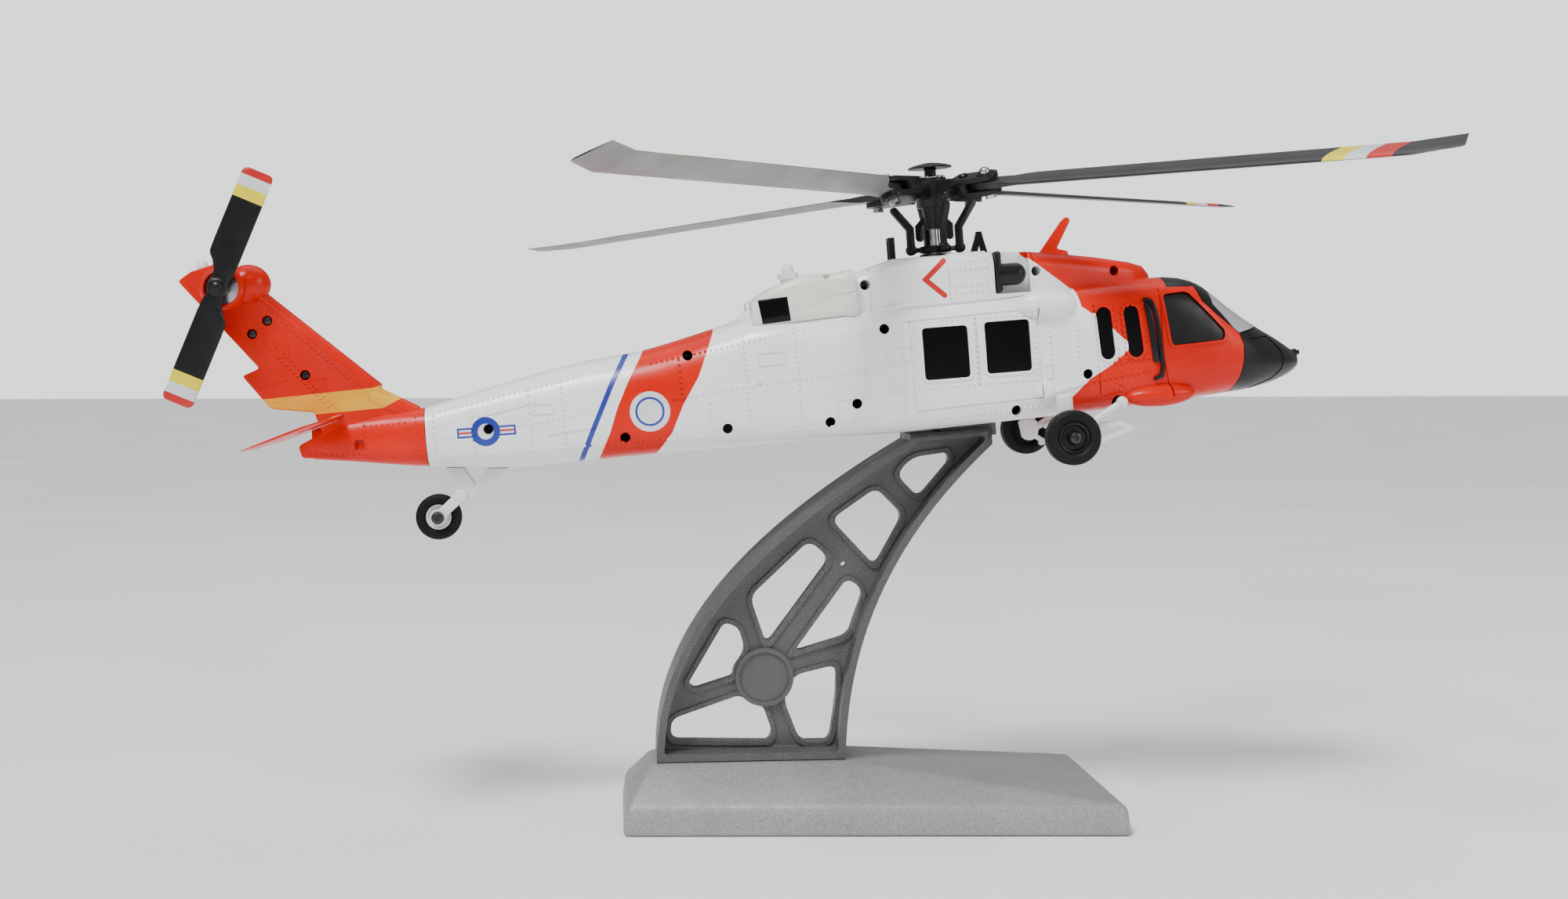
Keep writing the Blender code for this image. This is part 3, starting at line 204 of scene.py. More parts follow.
def strip(path, half_width, steps=8):
    """Outline of a bar that follows a path and has round ends."""
    left, right = [], []
    count = len(path)
    for i, point in enumerate(path):
        here = Vector(point)
        d0 = (here - Vector(path[i - 1])).normalized() if i else None
        d1 = (Vector(path[i + 1]) - here).normalized() if i < count - 1 else None
        direction = ((d0 or d1) + (d1 or d0)).normalized()
        normal = Vector((-direction.y, direction.x))
        reach = half_width / max(direction.dot(d1 or d0), 0.4)
        left.append(tuple(here + normal * reach))
        right.append(tuple(here - normal * reach))
    ends = []
    for here, away in ((path[-1], Vector(path[-1]) - Vector(path[-2])),
                       (path[0], Vector(path[0]) - Vector(path[1]))):
        base = math.atan2(away.y, away.x)
        ends.append([(here[0] + half_width * math.cos(base + math.pi * (0.5 - k / steps)),
                      here[1] + half_width * math.sin(base + math.pi * (0.5 - k / steps)))
                     for k in range(1, steps)])
    return left + ends[0] + right[::-1] + ends[1]


def bezier(p0, p1, p2, p3, count):
    points = []
    for i in range(count + 1):
        t = i / count
        a, b, c, d = (1 - t) ** 3, 3 * t * (1 - t) ** 2, 3 * t * t * (1 - t), t ** 3
        points.append((a * p0[0] + b * p1[0] + c * p2[0] + d * p3[0],
                       a * p0[1] + b * p1[1] + c * p2[1] + d * p3[1]))
    return points


def mesh_from(bm, name="shape"):
    bmesh.ops.recalc_face_normals(bm, faces=bm.faces)
    mesh = bpy.data.meshes.new(name)
    bm.to_mesh(mesh)
    bm.free()
    return mesh


def loft(rings):
    """Closed skin through rings of equal point count, with a flat cap at each end."""
    bm = bmesh.new()
    count = len(rings[0])
    rows = [[bm.verts.new(Vector(p) * MM) for p in ring] for ring in rings]
    for row, after in zip(rows, rows[1:]):
        for j in range(count):
            k = (j + 1) % count
            bm.faces.new((row[j], row[k], after[k], after[j]))
    bm.faces.new(rows[0])
    bm.faces.new(rows[-1])
    return mesh_from(bm)


def plate(outline, thickness, offset=0.0, flat=False):
    """Prism of an outline. In side view it runs along Y from the outline in x and z; a flat plate
    runs along Z from its outline in x and y."""
    half = thickness / 2
    if flat:
        rings = [[(x, y, offset + z) for x, y in outline] for z in (-half, half)]
    else:
        rings = [[(x, offset + y, z) for x, z in outline] for y in (-half, half)]
    return loft(rings)


def box(x0, x1, y0, y1, z0, z1):
    return plate(((x0, y0), (x1, y0), (x1, y1), (x0, y1)), z1 - z0, (z0 + z1) / 2, True)


def turned(profile, start=(0, 0, 0), axis=(0, 0, 1), steps=48):
    """Solid turned about an axis through start; the profile gives radius and height down its side."""
    turn = Vector(axis).to_track_quat("Z", "Y").to_matrix()
    rings = []
    for k in range(steps):
        c, s = math.cos(math.tau * k / steps), math.sin(math.tau * k / steps)
        rings.append([Vector(start) + turn @ Vector((r * c, r * s, z)) for r, z in profile])
    bm = bmesh.new()
    rows = [[bm.verts.new(p * MM) for p in ring] for ring in rings]
    count = len(profile)
    closed = profile[0][0] > 0.0
    for k in range(steps):
        row, after = rows[k], rows[(k + 1) % steps]
        for j in range(count if closed else count - 1):
            i = (j + 1) % count
            bm.faces.new((row[j], row[i], after[i], after[j]))
    bmesh.ops.remove_doubles(bm, verts=bm.verts, dist=WELD / 2)
    bmesh.ops.dissolve_degenerate(bm, edges=bm.edges, dist=WELD / 2)
    return mesh_from(bm)


def rod(start, end, radius, end_radius=None, steps=24):
    far = radius if end_radius is None else end_radius
    length = (Vector(end) - Vector(start)).length
    return turned(((0.0, length), (far, length), (radius, 0.0), (0.0, 0.0)), start,
                  Vector(end) - Vector(start), steps)


def capsule(start, end, radius, steps=20, ease=0.35):
    """Rod with softened ends."""
    length = (Vector(end) - Vector(start)).length
    soft = radius * ease
    profile = [(0.0, length)]
    profile += [(radius - soft + soft * math.sin(a), length - soft + soft * math.cos(a))
                for a in (math.radians(15 * k) for k in range(7))]
    profile += [(radius - soft + soft * math.cos(a), soft - soft * math.sin(a))
                for a in (math.radians(15 * k) for k in range(7))]
    return turned(profile + [(0.0, 0.0)], start, Vector(end) - Vector(start), steps)


def ball(centre, radii, steps=32):
    bm = bmesh.new()
    matrix = Matrix.Translation(Vector(centre) * MM) @ Matrix.Diagonal((*(r * MM for r in radii), 1.0))
    bmesh.ops.create_uvsphere(bm, u_segments=steps, v_segments=steps // 2, radius=1.0, matrix=matrix)
    return mesh_from(bm)


def together(meshes):
    """Several meshes in one, left as separate shells."""
    bm = bmesh.new()
    for mesh in meshes:
        bm.from_mesh(mesh)
        bpy.data.meshes.remove(mesh)
    made = bpy.data.meshes.new("group")
    bm.to_mesh(made)
    bm.free()
    return made


def solve(mesh, *steps):
    """Mesh after steps in turn: booleans (operation, *other meshes), or (BEVEL, width, segments) with
    an angle in degrees as its last value where the usual one doesn't do."""
    scene = bpy.context.scene.collection
    work = bpy.data.objects.new("work", mesh)
    scene.objects.link(work)
    others = []
    for operation, *values in steps:
        if operation == BEVEL:
            bevel = work.modifiers.new("bevel", "BEVEL")
            bevel.width = values[0] * MM
            bevel.segments = values[1]
            bevel.limit_method = "ANGLE"
            bevel.angle_limit = math.radians(values[2] if len(values) > 2 else BEVEL_ANGLE)
            continue
        for value in values:
            other = bpy.data.objects.new("other", value)
            scene.objects.link(other)
            others.append(other)
            boolean = work.modifiers.new(operation, "BOOLEAN")
            boolean.operation = operation
            boolean.object = other
            boolean.solver = "EXACT"
    bpy.context.view_layer.update()
    graph = bpy.context.evaluated_depsgraph_get()
    made = bpy.data.meshes.new_from_object(work.evaluated_get(graph))
    used = [work.data] + [other.data for other in others]
    for obj in [work, *others]:
        bpy.data.objects.remove(obj)
    for data in used:
        bpy.data.meshes.remove(data)
    return made


def piece(name, mesh, materials, node=None, body="airframe", matrix=HELI, crease=34.0):
    """A visible piece that rides on a body, and the CAD node that it stands for."""
    mesh.transform(matrix)
    slots = [0] * len(mesh.polygons)
    mesh.polygons.foreach_get("material_index", slots)
    mesh.materials.clear()
    for material in materials:
        mesh.materials.append(material)
    last = len(materials) - 1
    mesh.polygons.foreach_set("material_index", [min(number, last) for number in slots])
    mesh.shade_smooth()
    mesh.set_sharp_from_angle(angle=math.radians(crease))
    obj = bpy.data.objects.new(name, mesh)
    bpy.context.scene.collection.objects.link(obj)
    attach(obj, body)
    if node:
        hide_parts(node)
    return obj


def node_piece(name, node, body, width, segments=2, angle=32.0, material=None):
    """A piece made from its CAD node's own solid, with the edges softened by a small bevel."""
    mesh = frame["nodes"][node].data.copy()
    bm = bmesh.new()
    bm.from_mesh(mesh)
    bmesh.ops.remove_doubles(bm, verts=bm.verts, dist=WELD)
    bmesh.ops.dissolve_limit(bm, angle_limit=math.radians(1.0), verts=bm.verts, edges=bm.edges)
    clean = mesh_from(bm)
    bpy.data.meshes.remove(mesh)
    piece(name, solve(clean, (BEVEL, width, segments, angle)), (material or BLACK_PLASTIC,), node,
          body, STAND)


# ---------------------------------------------------------------- materials

def value_noise(tree, scale, detail=3.0, stretch=(1, 1, 1)):
    coordinate = tree.nodes.new("ShaderNodeTexCoord")
    mapping = tree.nodes.new("ShaderNodeMapping")
    mapping.inputs["Scale"].default_value = stretch
    noise = tree.nodes.new("ShaderNodeTexNoise")
    noise.inputs["Scale"].default_value = scale
    noise.inputs["Detail"].default_value = detail
    tree.links.new(coordinate.outputs["Object"], mapping.inputs["Vector"])
    tree.links.new(mapping.outputs["Vector"], noise.inputs["Vector"])
    return noise.outputs["Fac"]


def spread(tree, source, low, high, start=0.3, end=0.7):
    node = tree.nodes.new("ShaderNodeMapRange")
    for name, number in (("From Min", start), ("From Max", end), ("To Min", low), ("To Max", high)):
        node.inputs[name].default_value = number
    tree.links.new(source, node.inputs["Value"])
    return node.outputs["Result"]


COAT_ROUGHNESS = 0.12
SMUDGE_SCALE = 2.3            # smudges are this much finer than the tone
ROUGHNESS_RANGE = (0.85, 1.2)
GRAIN_STRENGTH = 0.35


def surface(name, dark, light, rough, metallic=0.0, tone_scale=60.0, grain_scale=1400.0, grain=0.02,
            coat=0.0, speckle=0.0, stretch=(1, 1, 1), shine=0.5):
    """Moulded or turned surface: tone varies slowly, roughness a little, with a fine moulded grain."""
    material = bpy.data.materials.new(name)
    material.use_nodes = True
    tree = material.node_tree
    shader = tree.nodes["Principled BSDF"]
    for socket, value in (("Metallic", metallic), ("Specular IOR Level", shine), ("Coat Weight", coat),
                          ("Coat Roughness", COAT_ROUGHNESS)):
        shader.inputs[socket].default_value = value
    ramp = tree.nodes.new("ShaderNodeValToRGB")
    for stop, place, colour in zip(ramp.color_ramp.elements, (0.3, 0.7), (dark, light)):
        stop.position = place
        stop.color = (*colour, 1.0)
    tone = value_noise(tree, tone_scale, 4.0, stretch)
    if speckle:
        fine = value_noise(tree, grain_scale, 2.0)
        mix = tree.nodes.new("ShaderNodeMix")
        mix.inputs["Factor"].default_value = speckle
        tree.links.new(tone, mix.inputs["A"])
        tree.links.new(spread(tree, fine, 0.0, 1.0, 0.35, 0.65), mix.inputs["B"])
        tone = mix.outputs["Result"]
    tree.links.new(tone, ramp.inputs["Fac"])
    tree.links.new(ramp.outputs["Color"], shader.inputs["Base Color"])
    smudge = value_noise(tree, tone_scale * SMUDGE_SCALE, 3.0)
    low, high = ROUGHNESS_RANGE
    tree.links.new(spread(tree, smudge, rough * low, rough * high), shader.inputs["Roughness"])
    bump = tree.nodes.new("ShaderNodeBump")
    bump.inputs["Strength"].default_value = GRAIN_STRENGTH
    bump.inputs["Distance"].default_value = grain * MM
    tree.links.new(value_noise(tree, grain_scale, 2.0, stretch), bump.inputs["Height"])
    tree.links.new(bump.outputs["Normal"], shader.inputs["Normal"])
    return material


WHITE_PAINT = surface("white_gloss_plastic", (0.84, 0.85, 0.86), (0.91, 0.92, 0.93), 0.28, coat=0.1)
ORANGE_PAINT = surface("orange_gloss_plastic", (0.58, 0.006, 0.0), (0.68, 0.010, 0.001), 0.28,
                       shine=0.22)
BLACK_PLASTIC = surface("black_satin_plastic", (0.004, 0.004, 0.005), (0.008, 0.008, 0.009), 0.34,
                        grain=0.03, shine=0.3)
# dark window panes; the same near-black also paints the shade inside the exhaust mouths
PANE_AND_MOUTH_SHADE = surface("dark_pane_and_painted_shade", (0.001, 0.001, 0.002), (0.003, 0.003, 0.004), 0.16, grain=0.01,
               shine=0.2)
# painted reflection: the windscreen glass is given a mid grey in place of dark smoked plastic,
# standing in for the pale surroundings it reflects
SCREEN_PAINTED_REFLECTION = surface("screen_grey_painted_reflection", (0.30, 0.31, 0.33), (0.40, 0.41, 0.44), 0.10, grain=0.0,
                 coat=0.6)
BLUE_PAINT = surface("blue_marking", (0.012, 0.030, 0.27), (0.018, 0.045, 0.36), 0.32)
YELLOW_PAINT = surface("yellow_marking", (0.76, 0.36, 0.004), (0.86, 0.44, 0.008), 0.32)
RED_PAINT = surface("red_marking", (0.48, 0.012, 0.012), (0.58, 0.022, 0.018), 0.32)
PALE_MARK = surface("pale_marking", (0.62, 0.65, 0.70), (0.72, 0.75, 0.79), 0.32)
CREAM = surface("cream_plastic", (0.72, 0.70, 0.62), (0.80, 0.78, 0.71), 0.34, coat=0.1)
BASE_GREY = surface("speckled_grey_plastic", (0.20, 0.205, 0.21), (0.34, 0.345, 0.35), 0.50,
                    metallic=0.15, grain_scale=3200.0, grain=0.05, speckle=0.7)
ARM_GREY = surface("dark_grey_plastic", (0.060, 0.060, 0.062), (0.12, 0.12, 0.122), 0.46,
                   metallic=0.25, grain_scale=3200.0, grain=0.05, speckle=0.6)
BLADE_TOP = surface("blade_top_plastic", (0.012, 0.013, 0.014), (0.024, 0.025, 0.027), 0.34,
                    grain=0.03)
BLADE_UNDER = surface("blade_underside_plastic", (0.17, 0.17, 0.17), (0.24, 0.24, 0.24), 0.34,
                      grain=0.03)
BLADE_YELLOW = surface("blade_yellow", (0.72, 0.62, 0.01), (0.84, 0.72, 0.02), 0.34)
STEEL = surface("polished_steel", (0.48, 0.48, 0.49), (0.68, 0.68, 0.69), 0.22, metallic=1.0,
                grain_scale=900.0, stretch=(1, 1, 8))
DARK_STEEL = surface("blackened_screw_steel", (0.03, 0.03, 0.032), (0.09, 0.09, 0.095), 0.32,
                     metallic=0.8)
RUBBER = surface("black_rubber", (0.003, 0.003, 0.003), (0.007, 0.007, 0.008), 0.55,
                 grain_scale=2200.0, grain=0.06, shine=0.2)
STRUT = surface("pale_strut_plastic", (0.68, 0.70, 0.71), (0.78, 0.80, 0.81), 0.36)
LAMP = surface("clear_lamp", (0.80, 0.80, 0.80), (0.90, 0.90, 0.91), 0.12, coat=0.8)
COPPER = surface("motor_copper", (0.40, 0.15, 0.05), (0.58, 0.24, 0.09), 0.34, metallic=1.0)
BOARD = surface("circuit_board", (0.008, 0.10, 0.04), (0.015, 0.16, 0.07), 0.42)
BODY_PAINT = (WHITE_PAINT, ORANGE_PAINT, BLACK_PLASTIC, BLUE_PAINT, YELLOW_PAINT, RED_PAINT,
              PALE_MARK)
BLADE_PAINT = (BLADE_TOP, BLADE_UNDER, BLADE_YELLOW, PALE_MARK, RED_PAINT)


# ---------------------------------------------------------------- paint and rivets

def inside(x, z, outline):
    hit = False
    for (x0, z0), (x1, z1) in zip(outline, [*outline[1:], outline[0]]):
        if (z0 > z) != (z1 > z) and x < x0 + (z - z0) * (x1 - x0) / (z1 - z0):
            hit = not hit
    return hit


CUT_MARGIN = 0.5              # faces this near an outline's edge are cut along it
SHORTEST_EDGE = 0.001


def cut_along(bm, outline, along=1):
    """Cuts the mesh by the prism of an outline, so that faces end on its edges."""
    u, v = [k for k in range(3) if k != along]
    for (x0, z0), (x1, z1) in zip(outline, [*outline[1:], outline[0]]):
        low = (min(x0, x1) - CUT_MARGIN) * MM, (min(z0, z1) - CUT_MARGIN) * MM
        high = (max(x0, x1) + CUT_MARGIN) * MM, (max(z0, z1) + CUT_MARGIN) * MM
        near = []
        for face in bm.faces:
            places = [vert.co for vert in face.verts]
            if (max(p[u] for p in places) > low[0] and min(p[u] for p in places) < high[0]
                    and max(p[v] for p in places) > low[1] and min(p[v] for p in places) < high[1]):
                near.append(face)
        edges = {edge for face in near for edge in face.edges}
        verts = {vert for face in near for vert in face.verts}
        point, normal = [0.0] * 3, [0.0] * 3
        point[u], point[v] = x0 * MM, z0 * MM
        normal[u], normal[v] = -(z1 - z0), x1 - x0
        if math.hypot(x1 - x0, z1 - z0) > SHORTEST_EDGE:
            bmesh.ops.bisect_plane(bm, geom=[*near, *edges, *verts], dist=WELD / 5, plane_co=point,
                                   plane_no=normal)


def repaint(mesh, colour_of, outlines=(), planes=()):
    """Cuts a mesh along outlines (outline, axis) and planes (axis, place), then gives each face the
    colour for its centre and normal."""
    bm = bmesh.new()
    bm.from_mesh(mesh)
    for outline, along in outlines:
        cut_along(bm, outline, along)
    for axis, place in planes:
        normal = [float(k == axis) for k in range(3)]
        bmesh.ops.bisect_plane(bm, geom=[*bm.faces, *bm.edges, *bm.verts], plane_no=normal,
                               plane_co=[place * MM * part for part in normal])
    for face in bm.faces:
        face.material_index = colour_of(face.calc_center_median() / MM, face.normal)
    bm.to_mesh(mesh)
    bm.free()
    return mesh


def field_colour(point, fields, ground=WHITE):
    """Paint at a point: that of the last side-view field it lies in, or else the ground colour."""
    colour = ground
    for outline, slot, *tests in fields:
        if all(test(point) for test in tests) and inside(point.x, point.z, outline):
            colour = slot
    return colour


def paint(mesh, fields, ground=WHITE):
    return repaint(mesh, lambda centre, normal: field_colour(centre, fields, ground),
                   [(outline, 1) for outline, *_ in fields])


RIVET_SIDES = 8
RIVET_RINGS = ((1.0, -0.12, 0.0), (0.72, 0.0, 0.7))  # share of radius, rise, and share of height
FACING = 0.25                 # least share of a surface's normal towards the side that is riveted
SEAM_GAP = 1.0                # no rivets nearer to the middle plane than this


def dome(verts, faces, place, normal, radius, height):
    """Adds a rivet head: two rings and a top point, sunk a little into the surface."""
    u = normal.orthogonal().normalized()
    v = normal.cross(u)
    start, n = len(verts), RIVET_SIDES
    for share, rise in [(share, low + high * height) for share, low, high in RIVET_RINGS]:
        for k in range(n):
            a = math.tau * k / n
            rim = (u * math.cos(a) + v * math.sin(a)) * radius * share
            verts.append((place + rim + normal * rise) * MM)
    verts.append((place + normal * height) * MM)
    for k in range(n):
        after = start + (k + 1) % n
        faces.append((start + k, after, after + n, start + k + n))
        faces.append((start + k + n, after + n, start + 2 * n))
    faces.append(tuple(start + k for k in reversed(range(n))))


def rivet_rows(name, skin, rows, side, fields, ground=WHITE, spacing=1.75, radius=0.56, height=0.55):
    """Rows of rivet heads on a skin, each in the paint that it lies on. None on steep places."""
    tree = BVHTree.FromPolygons([v.co / MM for v in skin.vertices],
                                [p.vertices for p in skin.polygons])
    verts, faces, slots = [], [], []
    for x0, z0, x1, z1 in rows:
        count = max(1, round(math.hypot(x1 - x0, z1 - z0) / spacing))
        for k in range(count + 1):
            x, z = x0 + (x1 - x0) * k / count, z0 + (z1 - z0) * k / count
            place, normal, _, _ = tree.ray_cast(Vector((x, side * FLANK, z)), Vector((0, -side, 0)))
            if place is None or normal.y * side < FACING or place.y * side < SEAM_GAP:
                continue
            before = len(faces)
            dome(verts, faces, place, normal, radius, height)
            slots += [field_colour(place, fields, ground)] * (len(faces) - before)
    mesh = bpy.data.meshes.new(name)
    mesh.from_pydata(verts, [], faces)
    mesh.polygons.foreach_set("material_index", slots)
    piece(name, mesh, BODY_PAINT, crease=80.0)


# ---------------------------------------------------------------- body

RING_POINTS = 96
STATION_STEP = 3.2
WIDEST = 0.45                 # height of the widest line, as a share of a section's height
THINNEST = 0.4                # no section is inset to less than this from its middle
DECK_SHOULDER = 5.0           # largest radius of the deck's shoulders
DECK_SHOULDER_SHARE = 0.35
SHOULDER_STEPS = 10


def between(stations, step):
    """Stations filled in along smooth curves, about a step apart."""
    filled = []
    last = len(stations) - 1
    for i in range(last):
        p0, p1 = stations[max(i - 1, 0)], stations[i]
        p2, p3 = stations[i + 1], stations[min(i + 2, last)]
        span = p2[0] - p1[0]
        count = max(1, round(abs(span) / step))
        before, after = p2[0] - p0[0], p3[0] - p1[0]
        for k in range(count):
            t = k / count
            row = [p1[0] + t * span]
            for a, b, c, d in list(zip(p0, p1, p2, p3))[1:]:
                m1, m2 = (c - a) / before * span, (d - b) / after * span
                row.append((2 * t ** 3 - 3 * t * t + 1) * b + (t ** 3 - 2 * t * t + t) * m1
                           + (3 * t * t - 2 * t ** 3) * c + (t ** 3 - t * t) * m2)
            filled.append(row)
    return filled + [list(stations[last])]


def section(x, low, high, half_width, top_square, belly_square, inset=0.0, points=RING_POINTS):
    """One cross-section ring of the body, a superellipse with different roof and belly corners."""
    middle = low + WIDEST * (high - low)
    half_width = max(half_width - inset, THINNEST)
    ring = []
    for i in range(points):
        angle = math.tau * i / points
        c, s = math.cos(angle), math.sin(angle)
        square = top_square if s >= 0 else belly_square
        rise = (high - inset - middle) if s >= 0 else (middle - low - inset)
        rise = max(rise, THINNEST)
        ring.append((x, half_width * math.copysign(abs(c) ** (2 / square), c),
                     middle + rise * math.copysign(abs(s) ** (2 / square), s)))
    return ring


def hull(inset=0.0, stations=HULL, step=STATION_STEP, points=RING_POINTS, reach=0.0):
    rings = [section(*row, inset=inset, points=points) for row in between(stations, step)]
    rings[0] = [(x + reach, y, z) for x, y, z in rings[0]]
    rings[-1] = [(x - reach, y, z) for x, y, z in rings[-1]]
    return loft(rings)


def rough_hull(inset, reach=0.0):
    """The hull's form in few faces, for the inner faces of thin walls."""
    return hull(inset, step=9.0, points=48, reach=reach)


def deck(inset=0.0):
    """Upper deck: straight sides with rounded shoulders."""
    rings = []
    for x, low, high, half_width in DECK:
        width, top = half_width - inset, high - inset
        shoulder = min(DECK_SHOULDER, DECK_SHOULDER_SHARE * (top - low))
        ring = [(x, width, low)]
        for k in range(SHOULDER_STEPS + 1):
            angle = math.radians(90.0 / SHOULDER_STEPS * k)
            ring.append((x, width - shoulder + shoulder * math.cos(angle),
                         top - shoulder + shoulder * math.sin(angle)))
        ring += [(px, -py, pz) for px, py, pz in reversed(ring)]
        rings.append(ring)
    return loft(rings)


def through(outlines, half=THROUGH):
    """Prisms of side-view outlines through the body, as one mesh of separate shells."""
    return together([plate(outline, 2 * half) for outline in outlines])


def side_prism(outline, side):
    """Prism of a side-view outline that reaches only one flank of the body."""
    return plate(outline, 30.0, side * 30.0)


def pane_outlines(margin):
    panes = [rounded(grown(COCKPIT_PANE, margin), 1.6)]
    for x0, z0, x1, z1 in CABIN_PANES:
        panes.append(rounded(rectangle(x0 - margin, z0 - margin, x1 + margin, z1 + margin), 1.4))
    for x0, z0, x1, z1 in SLOT_PANES:
        panes.append(strip(((x0, z0), (x1, z1)), SLOT_RADIUS + margin, 12))
    return panes


def border(outline, half_width, half=THROUGH):
    """Prism of a narrow frame that follows an outline."""
    return solve(plate(grown(outline, half_width), 2 * half),
                 (CUT, plate(grown(outline, -half_width), 2 * half + 2.0)))


SMALL_PANELS = ((-21.4, -53.6, -12.6, -49.4), (-22.4, -63.2, -18.2, -60.6),
                (-62.0, -51.6, -54.0, -47.8), (-38.6, -70.6, -27.6, -64.0),
                (-133.0, -61.4, -126.6, -58.4), (27.6, -62.6, 29.4, -58.4))
DOOR_LINES = (((-14.2, -41.4), (-14.2, -69.8), (26.2, -68.6), (26.2, -40.6)),
              ((44.4, -41.0), (44.8, -68.8)), ((66.0, -37.6), (65.4, -58.0), (67.6, -71.4)),
              ((-24.9, -24.6), (-24.9, -41.6)), ((0.2, -21.0), (0.2, -36.6)),
              ((27.4, -22.0), (27.4, -34.4)))
RAISED_BARS = (((-16.0, -41.0), (27.6, -39.9)), ((-128.6, -67.6), (-114.4, -66.6)),
               ((30.4, -66.8), (40.6, -64.8)), ((-150.0, -60.6), (-132.0, -57.4)))
DECK_LEDGE = ((-24.2, -37.4), (-17.6, -37.4), (-16.8, -36.4), (37.4, -35.2))
ENGINE_DOOR = (0.9, -35.6, 12.6, -18.0)
BUMPS = (((64.0, 23.4, -70.9), (11.5, 4.2, 3.6), 32), ((29.5, 24.0, -39.4), (9.5, 4.4, 4.6), 32),
         ((27.6, 23.6, -66.6), (3.6, 2.9, 4.4), 24))
SPINE = ((-25.4, -34.0, -24.4, 6.6), (-42.0, -36.0, -25.4, 6.2), (-54.0, -40.0, -27.2, 5.4),
         (-66.0, -42.0, -36.0, 3.6))  # x, foot, top, half width


def roof_spine():
    """Faired ridge behind the mast, with chamfered shoulders."""
    rings = []
    for x, low, high, half in SPINE:
        corners = ((-1, low), (-1, high - 1.6), (-0.6, high), (0.6, high), (1, high - 1.6), (1, low))
        rings.append([(x, share * half, z) for share, z in corners])
    return solve(loft(rings), (BEVEL, 0.9, 3))


def body_outer():
    """Outer form of hull, deck and everything moulded on it, both sides at once."""
    frames = [grown(outline, 0.8) for outline in pane_outlines(0.0)]
    frames += [strip(path, 0.55) for path in RAISED_BARS]
    borders = [border(rectangle(*corners), 0.22) for corners in SMALL_PANELS]
    raised = solve(hull(-0.4, step=6.0), (KEEP, together([through(frames), *borders])))
    engine_doors = solve(deck(-0.45), (KEEP, through([rounded(rectangle(*ENGINE_DOOR), 0.8)])))
    ledges = solve(deck(-0.7), (KEEP, through([strip(DECK_LEDGE, 0.75)])))
    bumps = [ball((x, side * y, z), radii, steps)
             for side in SIDES.values() for (x, y, z), radii, steps in BUMPS]
    lines = through([strip(path, 0.22, 3) for path in DOOR_LINES])
    groove = solve(lines, (CUT, hull(0.4, step=6.0, reach=3.0), deck(0.4)))
    return solve(hull(), (ADD, deck(), together(bumps), raised, engine_doors, ledges, roof_spine()),
                 (CUT, groove))


CABIN_ROOM = (-36.0, 50.0, -11.0, 11.0, -46.0, -29.4)
MAST_ROOM = (-16.0, 26.0, -11.6, 11.6, -40.0, -23.4)
MAST_PIT = (-17.0, 17.6, -11.0, 11.0, -30.0, -15.0)
STAND_SLOT = (-4.3, 14.3, -8.3, 8.3, -90.0, -60.0)
INTAKE_PIT = (14.6, 26.2, 13.8, 30.0, -35.2, -10.0)
LEG_X, LEG_Y = 32.3, 27.6     # upright of a main leg
DRAG_END = (50.6, -72.0)      # x and z of the drag beam's upper end
DRAG_HOLE_LIFT = 0.2
POST_HOLE, DRAG_HOLE = 2.9, 1.9
JOINT_GAP = 0.25              # gap round the nose and the windscreen
BODY_PAINT_FIELDS = (
    (FRONT_FIELD, ORANGE),
    (COCKPIT_ROOF, BLACK, lambda p: p.z > -37.4 and abs(p.y) < 23.4),
    (BOOM_BAND, ORANGE),
    (strip(BLUE_LINE, 0.8, 2), BLUE),
    (rectangle(-157.2, -67.4, -138.7, -64.2), BLUE),
    (rectangle(-156.6, -66.8, -139.3, -64.8), MARK_WHITE),
    (rectangle(-156.6, -66.1, -139.3, -65.5), RED),
    (circle(*ROUNDEL, 24), BLUE),
    (circle(*ROUNDEL[:2], 2.5, 20), MARK_WHITE),
    (circle(*EMBLEM, 32), MARK_WHITE),
    (circle(*EMBLEM[:2], 4.6, 28), BLUE),
    (circle(*EMBLEM[:2], 3.9, 24), MARK_WHITE),
    (strip(CHEVRON, 0.85, 4), RED, lambda p: abs(p.y) > 12.0),
)


def split_half(whole, side, x_range, screws, depth):
    """One side of a shell, cut at the middle plane. The side with the screws has their wells."""
    y_range = (-SPLIT, FLANK) if side < 0 else (-FLANK, SPLIT)
    steps = [(CUT, box(*x_range, *y_range, -120.0, 20.0))]
    if side == SCREW_SIDE:
        wells = [rod((x, side * depth, z), (x, side * 40.0, z), SCREW_WELL, steps=28)
                 for x, z in screws]
        steps.append((CUT, together(wells)))
    return solve(whole.copy(), *steps)


def build_body():
    sides = SIDES.values()
    x0, x1, y0, y1, z0, z1 = INTAKE_PIT
    beam_x, beam_z = DRAG_END[0], DRAG_END[1] + DRAG_HOLE_LIFT
    whole = solve(
        body_outer(),
        (CUT, solve(rough_hull(SKIN, 1.0), (ADD, box(*CABIN_ROOM), box(*MAST_ROOM))),
         through([grown(WINDSCREEN_SIDE, JOINT_GAP)]), through([grown(NOSE_SIDE, JOINT_GAP)]),
         box(*MAST_PIT),
         together([box(x0, x1, *sorted((side * y0, side * y1)), z0, z1) for side in sides]),
         together([side_prism(outline, side) for side in sides for outline in pane_outlines(0.0)]),
         box(*STAND_SLOT),
         together([rod((LEG_X, side * LEG_Y, -90.0), (LEG_X, side * LEG_Y, -68.2), POST_HOLE)
                   for side in sides]),
         together([rod((beam_x, side * 10.0, beam_z), (beam_x, side * 30.0, beam_z), DRAG_HOLE)
                   for side in sides])))
    for label, side in SIDES.items():
        shell = paint(split_half(whole, side, (-260.0, 140.0), BODY_SCREWS, 4.0), BODY_PAINT_FIELDS)
        rivet_rows("body_rivets_" + label, shell, BODY_RIVETS, side, BODY_PAINT_FIELDS)
        piece("body_shell_" + label, shell, BODY_PAINT, "fuselage_" + label,
              crease=30.0)


